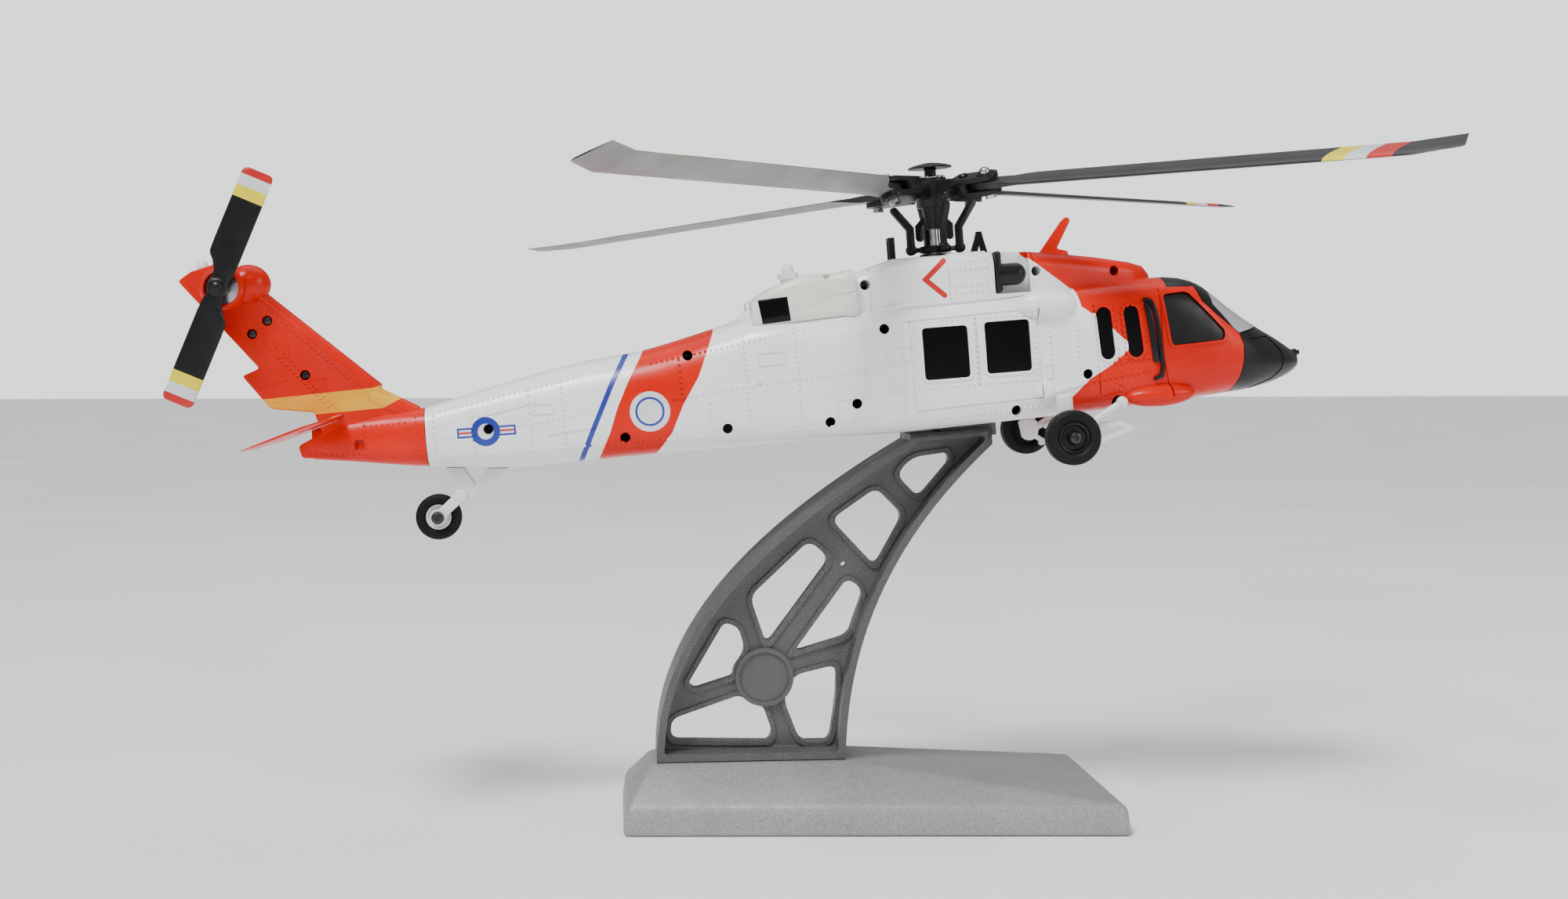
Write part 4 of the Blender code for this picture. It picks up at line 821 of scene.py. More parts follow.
def frame_rows(x0, z0, x1, z1):
    """The four rows of rivets round a rectangle."""
    return [(x0, z0, x1, z0), (x0, z1, x1, z1),
            (x0, z0 + 1.7, x0, z1 - 1.7), (x1, z0 + 1.7, x1, z1 - 1.7)]


BODY_RIVETS = (
    frame_rows(-12.9, -62.6, 6.4, -42.3) + frame_rows(6.4, -62.6, 25.0, -42.3)
    + frame_rows(1.9, -33.6, 11.6, -24.0)[:2]
    + [(1.9, -31.4, 11.6, -31.4), (1.9, -26.4, 11.6, -26.4)]
    + [(44.6, -42.4, 62.0, -41.6), (46.4, -42.6, 46.4, -42.6), (44.2, -44.0, 44.8, -58.4),
       (50.6, -44.0, 51.4, -58.4), (53.0, -44.0, 53.8, -58.4), (59.8, -44.0, 60.4, -58.4),
       (44.8, -59.9, 61.6, -58.9), (42.6, -64.8, 60.8, -62.8), (51.4, -66.4, 51.4, -70.6)]
    + [(-162.0, -58.6, -118.0, -51.0), (-95.0, -48.6, -30.0, -39.2), (-160.0, -72.6, -30.0, -72.6),
       (-62.0, -57.4, -16.0, -55.0), (-162.0, -66.6, -158.6, -66.6),
       (-137.6, -64.6, -120.0, -62.6), (-89.0, -60.0, -62.0, -57.4), (-14.0, -72.6, 26.0, -71.4)]
    + [(x, low, x, high) for x, low, high in (
        (-164.4, -73.4, -59.6), (-152.0, -73.6, -57.0), (-134.0, -74.4, -54.0),
        (-123.6, -74.4, -52.0), (-86.4, -60.0, -48.0), (-78.0, -73.6, -62.0),
        (-66.0, -73.6, -42.0), (-50.0, -73.6, -41.0), (-33.0, -73.6, -68.0),
        (-29.0, -62.0, -40.6), (-17.2, -72.0, -42.0), (29.6, -60.0, -46.0),
        (38.4, -60.0, -46.4))]
)
COCKPIT_START = 64.0
PANE_BARS = ((((71.0, -44.8), (80.2, -44.3)), 0.55), (((71.4, -50.9), (85.4, -50.6)), 0.6),
             (((75.6, -44.8), (76.6, -50.6)), 0.42))
DOOR_RAIL = ((60.9, -40.4), (62.6, -41.0), (63.8, -44.4), (64.4, -50.1), (65.1, -61.8),
             (64.6, -64.7), (62.6, -65.5))
DOOR_HANDLE = ((61.4, -41.6), (62.4, -50.4), (63.2, -59.6))


def on_skin(path, half_width, rise, edge, side):
    """Bar that follows a side-view path on the skin."""
    return solve(hull(-rise, step=5.0), (KEEP, side_prism(strip(path, half_width, 5), side)),
                 (CUT, hull(0.05, step=5.0)), (BEVEL, edge, 2))


def build_panes():
    """Window inserts: dark panes a little behind the skin, one moulding a side."""
    for label, side in SIDES.items():
        prisms = together([side_prism(outline, side) for outline in pane_outlines(-0.12)])
        panes = solve(hull(0.35, step=5.0), (KEEP, prisms), (CUT, rough_hull(2.2)))
        bars = together([side_prism(strip(path, width, 4), side) for path, width in PANE_BARS])
        relief = solve(hull(-0.1, step=5.0), (KEEP, bars), (CUT, rough_hull(1.2)))
        panes = solve(panes, (ADD, relief))
        for face in panes.polygons:
            face.material_index = 1 if face.center.x > COCKPIT_START * MM else 0
        piece("window_panes_" + label, panes, (PANE_AND_MOUTH_SHADE, BLACK_PLASTIC), "side_glazing_" + label,
              crease=28.0)
        rails = together([on_skin(DOOR_RAIL, 0.62, 1.0, 0.25, side),
                          on_skin(DOOR_HANDLE, 1.0, 0.6, 0.2, side)])
        piece("cockpit_door_rail_" + label, rails, (BLACK_PLASTIC,))


NOSE_HATCH = ((95.7, -55.6), (103.6, -55.2), (108.1, -59.6), (109.2, -62.8), (108.2, -66.0),
              (104.8, -68.8), (97.3, -71.3))
SCREEN_POST = 1.0             # half the width of the middle post
SCREEN_EDGE = 20.5            # from the middle plane to the panes' outer edges
SCREEN_REAR, SCREEN_FRONT = 84.8, 99.6
SCREEN_LOWER = ((84.8, -28.0), (84.8, -37.4), (86.6, -41.0), (99.6, -50.6), (120.0, -44.0),
                (120.0, -28.0))


def build_nose():
    lines = through([strip(NOSE_HATCH, 0.26, 3)])
    groove = solve(lines, (CUT, hull(0.45, step=6.0, reach=3.0)))
    cap = solve(hull(step=2.0), (KEEP, through([NOSE_SIDE])), (CUT, groove, rough_hull(1.6, -1.5)),
                (ADD, rod((114.0, 0.0, -61.8), (117.6, 0.0, -61.5), 1.35),
                 rod((117.0, 0.0, -61.5), (118.6, 0.0, -61.4), 0.8)))
    piece("nose_shell", cap, (BLACK_PLASTIC,), "nose_cap", crease=30.0)

    def frame_or_glass(centre, _):
        across = SCREEN_POST < abs(centre.y) < SCREEN_EDGE
        return 1 if across and SCREEN_REAR < centre.x < SCREEN_FRONT else 0

    screen = solve(hull(step=2.0), (KEEP, through([WINDSCREEN_SIDE])), (CUT, rough_hull(1.1)))
    screen = repaint(screen, frame_or_glass, [(rectangle(70.0, -SCREEN_POST, 120.0, SCREEN_POST), 2),
                                              (rectangle(70.0, -SCREEN_EDGE, 120.0, SCREEN_EDGE), 2),
                                              (SCREEN_LOWER, 1)])
    # the screen's glass faces get the grey with a painted reflection in it
    piece("windscreen_moulding", screen, (BLACK_PLASTIC, SCREEN_PAINTED_REFLECTION), "windscreen",
          crease=30.0)


AERIAL_SIDE = ((33.0, -27.0), (33.6, -23.0), (41.8, -12.8), (43.6, -11.4), (44.8, -12.6),
               (39.6, -21.6), (43.2, -22.6), (44.0, -27.0))
BEACON = ((0.0, -20.2), (0.9, -20.35), (1.6, -20.9), (1.9, -21.8), (1.9, -23.0), (3.3, -23.2),
          (3.4, -25.0), (2.6, -25.2), (2.6, -29.4), (0.0, -29.4))


def build_roof():
    blade = solve(plate(rounded(AERIAL_SIDE, 0.8, 4), 2.2), (BEVEL, 0.25, 2, 60.0))
    blade = solve(blade, (CUT, deck(-0.05)))
    piece("roof_blade_aerial", blade, (ORANGE_PAINT,), "roof_aerial")
    piece("roof_beacon", turned(BEACON, (-48.6, 0.0, 0.0)), (LAMP,))


def screw_head(x, y, z, radius=1.42):
    """Recessed screw head with a cross slot, facing the model's right."""
    head = turned(((0.0, 0.75), (0.7, 0.72), (1.2, 0.5), (radius, 0.15), (radius, -0.4),
                   (0.0, -0.4)), (x, y, z), (0, -1, 0), 24)
    y_range = (y - 1.2, y - 0.25)
    return solve(head, (CUT, box(x - 0.75, x + 0.75, *y_range, z - 0.17, z + 0.17),
                        box(x - 0.17, x + 0.17, *y_range, z - 0.75, z + 0.75)))


def build_screws():
    """The screw heads that can be seen at the bottom of their wells."""
    heads = [screw_head(x, -6.4, z) for x, z in [BODY_SCREWS[k] for k in (0, 4, 6, 9)]]
    heads += [screw_head(x, -1.3, z) for x, z in TAIL_SCREWS]
    piece("recessed_screws", together(heads), (DARK_STEEL,))


# ---------------------------------------------------------------- engines

INTAKE_BULLET = (
    [(0.0, 9.1)] + [(3.5 * math.cos(math.radians(90 - 10 * k)),
                     5.6 + 3.5 * math.sin(math.radians(90 - 10 * k))) for k in range(1, 10)]
    + [(3.5, 5.6), (3.5, 0.0), (0.0, 0.0)]
)
# exhaust duct: x, low, high, near and far side
DUCT = ((-29.8, -38.4, -24.6, 12.0, 22.0), (-46.0, -39.0, -24.8, 10.5, 21.6),
        (-55.0, -39.6, -27.4, 9.0, 20.4), (-62.4, -40.0, -31.6, 7.6, 18.2))
DUCT_MIDDLE = 16.6
DUCT_COLLAR = ((-29.8, 1.05), (-31.4, 1.09), (-33.2, 1.05))
DUCT_SEAM = ((-29.6, -30.8), (-37.0, -32.4), (-44.6, -35.0), (-50.6, -35.2))
MOUTH_CUT = ((-60.4, -31.4), (-51.2, -31.0), (-50.6, -38.6), (-59.4, -39.2))
# painted shade: outline of the near-black sheet set just inside each exhaust mouth, standing in for
# the shadow in the open duct
MOUTH_SHADE_OUTLINE = ((-60.2, -31.9), (-51.4, -31.4), (-50.8, -38.3), (-59.3, -38.9))


def resized(ring, side, middle, wide, tall, x=None):
    """A duct ring made larger or smaller about its middle, and moved to x."""
    return [(px if x is None else x, side * (DUCT_MIDDLE + (y * side - DUCT_MIDDLE) * wide),
             middle + (z - middle) * tall) for px, y, z in ring]


def build_engines():
    for label, side in SIDES.items():
        collar = solve(box(15.0, 17.0, *sorted((side * 14.4, side * 20.9)), -34.8, -21.7),
                       (BEVEL, 1.0, 4))
        bullet = turned(INTAKE_BULLET, (16.0, side * 17.8, -29.2), (1, 0, 0))
        piece("engine_intake_" + label, together([collar, bullet]), (BLACK_PLASTIC,),
              "intake_" + label)
        rings = []
        for x, low, high, near, far in DUCT:
            ring = rounded(((near, low), (far, low), (far - 1.0, high), (near, high)), 3.0, 6)
            rings.append([(x, side * y, z) for y, z in ring])
        duct = loft(rings)
        collar = loft([resized(rings[0], side, -31.5, grow, grow, x) for x, grow in DUCT_COLLAR])
        pit = turned(((0.0, 3.0), (1.2, 3.0), (1.2, -3.0), (0.0, -3.0)),
                     (-38.5, side * 19.6, -26.0), (0, side * 0.55, 0.83), 28)
        core = loft([resized(ring, side, -32.0, 0.975, 0.965) for ring in rings])
        seam = solve(side_prism(strip(DUCT_SEAM, 0.13, 3), side), (CUT, core))
        mouth = plate(MOUTH_CUT, 9.0, side * 20.6)
        duct = solve(duct, (ADD, collar), (CUT, seam, pit, mouth, hull(-0.1), deck(-0.1)),
                     (BEVEL, 0.25, 2, 50.0))
        piece("engine_exhaust_" + label, duct, (CREAM,), "exhaust_" + label)
        # painted shade: a near-black sheet 0.3 mm inside each mouth stands in for the shadow inside
        # the duct
        dark = solve(loft(rings), (KEEP, plate(MOUTH_SHADE_OUTLINE, 9.0, side * 21.0)), (CUT, hull(-0.1)))
        dark.transform(Matrix.Translation((0.0, -side * 0.3 * MM, 0.0)))
        piece("exhaust_mouth_painted_shade_" + label, dark, (PANE_AND_MOUTH_SHADE,))


# ---------------------------------------------------------------- tail

TAIL_RIVETS = (
    (-170.0, -59.8, -170.0, -73.0), (-173.4, -61.2, -186.0, -61.4),
    (-186.4, -61.0, -186.4, -70.0), (-171.6, -63.0, -184.0, -64.6),
    (-172.0, -72.2, -204.0, -68.9), (-212.4, -22.8, -184.4, -51.6),
    (-219.8, -27.6, -197.0, -54.0), (-216.6, -27.4, -196.0, -53.4),
)
FIN_PANELS = ((-212.0, -37.6, -207.6, -33.6), (-201.6, -49.0, -197.2, -45.2))
FIN_RIBS = (((-220.4, -42.6), (-211.6, -41.0)), ((-217.4, -46.6), (-208.8, -44.6)),
            ((-213.8, -51.4), (-204.6, -49.4)))
FIN_THICKNESS = 5.2
RELIEF = 2.72                 # height of the ribs on the fin, from the middle plane
# tail plane: y, leading edge, trailing edge, thickness
TAIL_PLANE = ((-42.0, -197.4, -216.4, 0.5), (-41.4, -196.0, -217.5, 0.9), (0.0, -192.6, -221.5, 1.5),
              (41.4, -196.0, -217.5, 0.9), (42.0, -197.4, -216.4, 0.5))
PLANE_SECTION = ((0.0, 0.1), (0.02, 0.5), (0.06, 0.8), (0.14, 1.0), (0.35, 1.0), (0.6, 0.85),
                 (0.85, 0.55), (1.0, 0.25))
PLANE_HEIGHT, PLANE_SLOPE = -57.4, 0.293
TAIL_LAMP = ((0.0, 3.6), (1.1, 3.3), (1.7, 2.4), (1.8, 1.2), (1.8, 0.0), (0.0, 0.0))


def stabilator(margin):
    """Tail plane: a thin tapered wing across the boom, trailing edge low."""
    root = TAIL_PLANE[2][1]
    rings = []
    for y, lead, trail, thick in TAIL_PLANE:
        half = thick / 2 + margin
        ring = [((lead + margin) + t * (trail - lead - 2 * margin), share * half)
                for t, share in PLANE_SECTION]
        ring += [(x, -z) for x, z in reversed(ring)]
        rings.append([(x, y, PLANE_HEIGHT - PLANE_SLOPE * (root - x) + z) for x, z in ring])
    return loft(rings)


def build_tail():
    fields = ((FIN_BAND, YELLOW),)
    fin = solve(plate(rounded(FIN_SIDE, 1.0, 3), FIN_THICKNESS), (BEVEL, 1.7, 5, 50.0))
    spine = solve(capsule((-216.0, 0.0, -18.6), (-181.6, 0.0, -51.2), 3.1),
                  (ADD, capsule((-184.0, 0.0, -51.4), (-170.0, 0.0, -59.6), 3.3)))
    pod = ball((-218.6, 0.0, -14.2), (7.0, 5.6, 6.4))
    gearbox = turned(((0.0, 16.0), (5.2, 16.0), (6.2, 15.7), (6.7, 14.9), (6.7, 1.0), (6.2, 0.2),
                      (0.0, 0.0)), (TAIL_HUB.x, 6.6, TAIL_HUB.z), (0, -1, 0))
    frames = [border(rectangle(*corners), 0.16, RELIEF) for corners in FIN_PANELS]
    ribs = together([through([strip(path, 0.3, 3) for path in FIN_RIBS], RELIEF), *frames])
    shaft_hole = rod((TAIL_HUB.x, -12.0, TAIL_HUB.z), (TAIL_HUB.x, 3.6, TAIL_HUB.z), 5.4)
    whole = solve(hull(0.0, TAIL_CONE, 4.0), (ADD, fin, spine, pod, gearbox, ribs),
                  (CUT, shaft_hole, hull(SKIN, TAIL_CONE[:3], 9.0, 48, 1.0), stabilator(0.2)))
    for label, side in SIDES.items():
        shell = split_half(whole, side, (-260.0, -100.0), TAIL_SCREWS, 0.9)
        shell = paint(shell, fields, ORANGE)
        rivet_rows("tail_rivets_" + label, shell, TAIL_RIVETS, side, fields, ORANGE, 1.7, 0.42, 0.3)
        piece("tail_fin_" + label, shell, BODY_PAINT, "tail_shell_" + label,
              crease=32.0)
    piece("tail_plane", stabilator(0.0), (ORANGE_PAINT,), "stabilator",
          crease=50.0)
    lamp = turned(TAIL_LAMP, (-231.6, 0.0, -9.0), (-0.25, 0, 1.0), 32)
    piece("tail_lamp", lamp, (LAMP,))


# ---------------------------------------------------------------- stand

ARM_BACK = ((-68.0, 19.95), (-68.4, 61.0), (-36.0, 93.0), (13.1, 122.2))
ARM_FRONT = ((39.8, 121.0), (14.0, 97.0), (-7.0, 66.0), (-7.4, 19.95))
ARM_TOP = ((13.1, 124.2), (39.5, 126.3))
ARM_WINDOWS = (
    ((10.0, 110.8), (15.1, 116.4), (26.6, 118.0), (27.4, 115.0), (17.4, 103.2)),
    ((-11.2, 96.4), (3.4, 106.6), (12.4, 97.6), (3.2, 81.0)),
    ((-37.6, 71.6), (-18.4, 89.6), (-11.6, 83.6), (-32.2, 55.8)),
    ((-23.6, 53.2), (-6.0, 77.4), (-0.6, 73.2), (-5.4, 58.6)),
    ((-57.6, 43.6), (-46.0, 63.4), (-41.4, 61.6), (-39.0, 54.0), (-43.0, 48.2), (-43.4, 45.6),
     (-55.6, 41.8)),
    ((-63.2, 32.0), (-41.0, 39.6), (-37.0, 36.6), (-33.4, 35.8), (-30.4, 27.4), (-31.6, 24.4),
     (-63.2, 25.2)),
    ((-26.8, 38.2), (-23.4, 45.8), (-9.4, 49.0), (-9.6, 38.0), (-11.8, 23.6), (-21.2, 23.8)),
)
ARM_DEPTH = 22.0
ARM_WEB = 3.2
ARM_RIM = 2.4
WEB_BOSS = (-33.0, 45.4, 9.5)
WEB_SCREW = (-7.2, 81.7)

def build_stand():
    node_piece("stand_base_shell", "stand_base", "airframe", 0.5, 3, 22.0, BASE_GREY)
    outline = bezier(*ARM_BACK, 28) + list(ARM_TOP) + bezier(*ARM_FRONT, 28)
    pocket = rounded(grown(outline, -ARM_RIM), 0.7, 2)
    depth = (ARM_DEPTH - ARM_WEB) / 2
    arm = plate(outline, ARM_DEPTH - 0.02)
    for side in SIDES.values():
        hollow = plate(pocket, depth + 1.0, side * (ARM_WEB / 2 + depth / 2 + 0.5))
        arm = solve(arm, (CUT, solve(hollow, (BEVEL, 0.5, 2, 60.0))))
    windows = through([rounded(window, 3.4, 8) for window in ARM_WINDOWS], ARM_WEB / 2 + 3.0)
    rims = solve(together([plate(rounded(grown(window, 1.5), 4.4, 8), ARM_WEB + 1.5)
                           for window in ARM_WINDOWS]),
                 (KEEP, plate(grown(outline, -0.6), ARM_WEB + 3.0)))
    x, z, radius = WEB_BOSS
    boss = rod((x, -3.4, z), (x, 3.4, z), radius, steps=56)
    dish = together([rod((x, side * 2.5, z), (x, side * 5.0, z), radius - 1.4, steps=56)
                     for side in SIDES.values()])
    x, z = WEB_SCREW
    arm = solve(arm, (ADD, rims), (CUT, windows), (ADD, boss),
                (CUT, dish, rod((x, -5.0, z), (x, 5.0, z), 0.8)), (BEVEL, 0.22, 2, 40.0))
    tongue = box(-4.0, 14.0, -8.0, 8.0, -80.0, -71.0)
    tongue.transform(HELI)
    piece("stand_lattice_arm", solve(arm, (ADD, tongue)), (ARM_GREY,), "stand_arm",
          matrix=STAND, crease=35.0)


# ---------------------------------------------------------------- landing gear

MAIN_WHEEL = (8.55, 6.4)      # radius and width
MAIN_CENTRE = (32.7, 33.9, -81.4)
TAIL_WHEEL = (7.25, 4.6)
TAIL_CENTRE = (-165.9, 0.0, -92.0)
WHEEL_BORE = 1.35
TREAD_GROOVES = (-0.75, 0.75)


def tyre(radius, width, rim_radius):
    """Tyre profile with rounded shoulders, radius and height down its outer side."""
    half = width / 2
    profile = [(rim_radius, half * 0.62), (rim_radius + 0.5, half * 0.86), (radius * 0.70, half)]
    profile += [(radius * 0.84 + radius * 0.16 * math.sin(a), half * 0.45 + half * 0.55 * math.cos(a))
                for a in (math.radians(15 * k) for k in range(7))]
    profile += [(r, -z) for r, z in reversed(profile)]
    return profile


def wheel_hub(rim_radius, width):
    """Wheel disc, the same on both faces, with a raised rim and middle."""
    half = width / 2
    face = [(WHEEL_BORE, half * 0.55)]
    face += [(rim_radius * share, half * rise) for share, rise in (
        (0.42, 0.55), (0.5, 0.4), (0.78, 0.4), (0.86, 0.6), (1.0, 0.66))]
    return turned(face + [(r, -z) for r, z in reversed(face)], (0, 0, 0), (0, 1, 0), 40)


def build_wheel(label, node, size, centre, hub_paint):
    radius, width = size
    place = HELI @ Matrix.Translation(Vector(centre) * MM)
    rim_radius = radius * 0.55
    outer, inner = radius + 1.0, radius - 0.22
    grooves = [turned(((outer, y + 0.14), (outer, y - 0.14), (inner, y - 0.14), (inner, y + 0.14)),
                      (0, 0, 0), (0, 1, 0), 72) for y in TREAD_GROOVES]
    rubber = solve(turned(tyre(radius, width, rim_radius), (0, 0, 0), (0, 1, 0), 72),
                   (CUT, together(grooves)))
    piece(f"wheel_{label}_tyre", rubber, (RUBBER,), node, node, place)
    piece(f"wheel_{label}_hub", wheel_hub(rim_radius, width), (hub_paint,), None,
          node, place)


def hex_bolt(centre, side, radius=1.9):
    """Button head with a hexagon recess, facing outward along Y."""
    head = turned(((0.0, 1.45), (radius * 0.6, 1.4), (radius * 0.86, 1.15), (radius, 0.6),
                   (radius, -0.25), (0.0, -0.25)), centre, (0, side, 0), 36)
    recess = turned(((0.0, 3.0), (0.9, 3.0), (0.9, 0.75), (0.0, 0.75)), centre, (0, side, 0), 6)
    return solve(head, (CUT, recess))


LEG_LUG = ((28.4, -77.8), (34.8, -77.8), (35.4, -81.4), (34.2, -84.4), (31.6, -85.0),
           (29.4, -83.8), (29.0, -80.6))
STEP_LOOP = ((36.0, -86.0), (53.0, -80.4), (49.6, -78.6), (42.0, -78.8), (38.0, -80.4))
STEP_Y = 26.2
LUG_Y = 25.6


def main_leg(side):
    """Upright with its clamp ring, wheel lug and stub axle, drag beam, and step loop with its tie."""
    x, y, z = MAIN_CENTRE
    beam_x, beam_z = DRAG_END
    post, lug_y, step_y = side * LEG_Y, side * LUG_Y, side * STEP_Y
    ring = turned(((2.5, 0.9), (3.0, 0.7), (3.0, -0.7), (2.5, -0.9)), (LEG_X, post, -76.4), steps=32)
    return together([
        capsule((LEG_X, post, -83.5), (LEG_X, post, -67.9), 2.6, 32, 0.4),
        ring,
        solve(plate(rounded(LEG_LUG, 1.4), 2.0, lug_y), (BEVEL, 0.3, 2)),
        rod((x, lug_y, z), (x, side * 30.3, z), 2.0),
        rod((x, lug_y + side, z), (x, side * (y + 1.9), z), 1.0),
        capsule((33.4, post, -81.6), (beam_x, post, beam_z), 1.2),
        ball((beam_x, post, beam_z), (1.9, 1.6, 1.9), 24),
        solve(plate(strip(STEP_LOOP, 0.9, 5), 1.8, step_y), (BEVEL, 0.35, 2, 50.0)),
        capsule((32.9, step_y, -82.6), (37.0, step_y, -85.6), 0.9)])


def build_gear():
    x, y, z = MAIN_CENTRE
    for label, side in SIDES.items():
        piece("main_leg_" + label, main_leg(side), (STRUT,), "main_strut_" + label)
        build_wheel(label, "main_wheel_" + label, MAIN_WHEEL, (x, side * y, z), BLACK_PLASTIC)
        piece("axle_bolt_" + label, hex_bolt((x, side * (y + 2.9), z), side), (DARK_STEEL,),
              "wheel_bolt_" + label)


TAIL_STRUT = ((-163.6, -74.0), (-158.4, -74.0), (-153.6, -82.6), (-146.0, -74.0),
              (-136.6, -74.0), (-154.6, -86.8), (-157.6, -88.6), (-160.4, -86.2), (-158.6, -84.4))
KNEE = (-158.2, -85.6)


def build_tail_gear():
    x, _, z = TAIL_CENTRE
    gap = TAIL_WHEEL[1] / 2 + 1.2
    parts = [solve(plate(TAIL_STRUT, 4.6), (CUT, hull(-0.25)), (BEVEL, 0.5, 3, 30.0)),
             capsule((KNEE[0], -4.6, KNEE[1]), (KNEE[0], 4.6, KNEE[1]), 2.2)]
    for side in SIDES.values():
        offset = side * gap
        parts.append(solve(plate(strip((KNEE, (x, z)), 1.7, 8), 1.5, offset), (BEVEL, 0.3, 2, 50.0)))
        parts.append(rod((x, offset - 0.9, z), (x, offset + 0.9, z), 2.7, steps=40))
    piece("tail_fork", together(parts), (STRUT,), "tail_strut")
    build_wheel("tail", "tail_wheel", TAIL_WHEEL, TAIL_CENTRE, STRUT)
    bolt = together([rod((x, 5.0, z), (x, -4.9, z), 1.0), hex_bolt((x, -4.9, z), -1, 2.0)])
    piece("axle_bolt_tail", bolt, (DARK_STEEL,), "tail_wheel_bolt")


# ---------------------------------------------------------------- rotor

def axis_turn(degrees, axis="Z"):
    return Matrix.Rotation(math.radians(degrees), 4, axis)


def blade_frame(number):
    azimuth, pitch, lag, droop = BLADES[number]
    feather = HELI @ axis_turn(azimuth) @ axis_turn(pitch, "X")
    fold = feather @ Matrix.Translation((FOLD_X * MM, 0, 0)) @ axis_turn(lag) @ axis_turn(droop, "Y")
    return feather, fold


# share of the chord, and height over and under it as shares of the thickness
AEROFOIL = ((0.0, 0.04, 0.04), (0.012, 0.32, 0.28), (0.04, 0.58, 0.46), (0.10, 0.86, 0.66),
            (0.20, 1.0, 0.78), (0.34, 1.0, 0.80), (0.5, 0.86, 0.70), (0.66, 0.64, 0.52),
            (0.82, 0.38, 0.32), (0.93, 0.2, 0.18), (1.0, 0.10, 0.10))
# leading edge x and y, trailing edge x and y, thickness, and how flat the section is
BLADE_ROOT = (
    (-3.0, -2.5, -3.0, 2.5, 2.2, 1.0), (-2.2, -2.9, -2.2, 2.9, 2.2, 1.0),
    (5.0, -3.0, 5.0, 3.0, 2.2, 1.0), (8.0, -3.2, 8.0, 4.0, 2.1, 0.7),
    (11.0, -3.7, 11.0, 6.9, 2.0, 0.3), (14.0, -4.0, 14.0, 8.4, 1.9, 0.0),
    (17.0, -4.0, 17.0, 8.5, 1.9, 0.0), (70.0, -4.0, 70.0, 8.5, 1.7, 0.0),
    (110.0, -4.0, 110.0, 8.5, 1.6, 0.0),
)
BLADE_TIP = (                 # the same, with x back from the tip
    (17.0, -4.0, 17.0, 8.5, 1.5, 0.0), (15.0, -4.0, 15.2, 9.0, 1.45, 0.0),
    (13.0, -4.0, 13.2, 9.6, 1.4, 0.0), (9.0, -2.7, 9.8, 10.5, 1.2, 0.0),
    (4.0, -1.0, 6.0, 11.5, 0.95, 0.0), (0.8, 0.1, 4.0, 12.1, 0.7, 0.0),
    (0.0, 0.9, 3.6, 12.2, 0.5, 0.0),
)
COLOUR_BANDS = ((117.0, 123.5, 2), (123.5, 130.0, 3), (130.0, 137.4, 4))
TAIL_BANDS = ((28.15, 31.9, 3), (31.9, 35.4, 2), (35.4, 39.0, 1))
FOLD_X = 22.0                 # from the mast to a blade's folding bolt


def blade_mesh():
    """Blade about its bolt: x to the tip, leading edge on -Y, thin aerofoil and a swept tip."""
    rings = []
    tip = [(BLADE_REACH - x0, y0, BLADE_REACH - x1, *rest) for x0, y0, x1, *rest in BLADE_TIP]
    for x0, y0, x1, y1, thick, flat in (*BLADE_ROOT, *tip):
        upper, lower = [], []
        for t, top, under in AEROFOIL:
            x, y = x0 + t * (x1 - x0), y0 + t * (y1 - y0)
            upper.append((x, y, 0.5 * thick * (flat + (1 - flat) * top)))
            lower.append((x, y, -0.5 * thick * (flat + (1 - flat) * under)))
        rings.append(upper + lower[::-1])
    return loft(rings)


def band_colour(reach, bands, ground=0):
    for low, high, slot in bands:
        if low < reach < high:
            return slot
    return ground


def band_edges(bands):
    return sorted({edge for band in bands for edge in band[:2]})


def blade_colour(centre, normal):
    """Bands go round the edges, but not under the blade."""
    under = 1 if normal.z < -0.3 else 0
    return band_colour(centre.x, COLOUR_BANDS, under) if normal.z > -0.3 else under


FOLD_BOLT = ((0.0, 5.2), (1.0, 5.15), (1.5, 4.8), (1.75, 4.2), (1.75, 3.5), (0.8, 3.5), (0.8, -3.5),
             (1.75, -3.5), (1.75, -4.8), (0.0, -4.8))
GRIP_BUTTON = ((0.0, 0.9), (1.2, 0.85), (1.55, 0.5), (1.55, -0.3), (0.0, -0.3))
GRIP_WASHER = ((2.3, 0.5), (3.0, 0.35), (3.0, -0.3), (2.3, -0.3))


def build_blade(number):
    feather, fold = blade_frame(number)
    mesh = solve(blade_mesh(), (CUT, rod((0, 0, -6.0), (0, 0, 6.0), 1.1)))
    mesh = repaint(mesh, blade_colour, planes=[(0, x) for x in band_edges(COLOUR_BANDS)])
    grip = f"grip_{number}"
    piece(f"rotor_blade_{number}", mesh, BLADE_PAINT, f"blade_{number}",
          f"blade_{number}", fold, 42.0)
    node_piece(f"rotor_grip_{number}", f"blade_grip_{number}", grip, 0.28, 3)
    recess = turned(((0.0, 7.0), (0.8, 7.0), (0.8, 4.0), (0.0, 4.0)), (FOLD_X, 0, 0), steps=6)
    bolt = solve(turned(FOLD_BOLT, (FOLD_X, 0, 0), steps=28), (CUT, recess))
    piece(f"fold_bolt_{number}", bolt, (STEEL,), f"blade_bolt_{number}", grip,
          feather)
    detail = together([solve(box(12.0, 16.0, -4.35, -3.6, -1.6, 1.6), (BEVEL, 0.3, 2)),
                       solve(box(12.6, 15.4, 3.6, 4.3, -1.9, 1.9), (BEVEL, 0.3, 2)),
                       turned(GRIP_BUTTON, (13.6, 0, 3.2), steps=28),
                       turned(GRIP_WASHER, (FOLD_X, 0, 3.2), steps=36)])
    piece(f"grip_detail_{number}", detail, (BLACK_PLASTIC,), None, grip,
          feather)


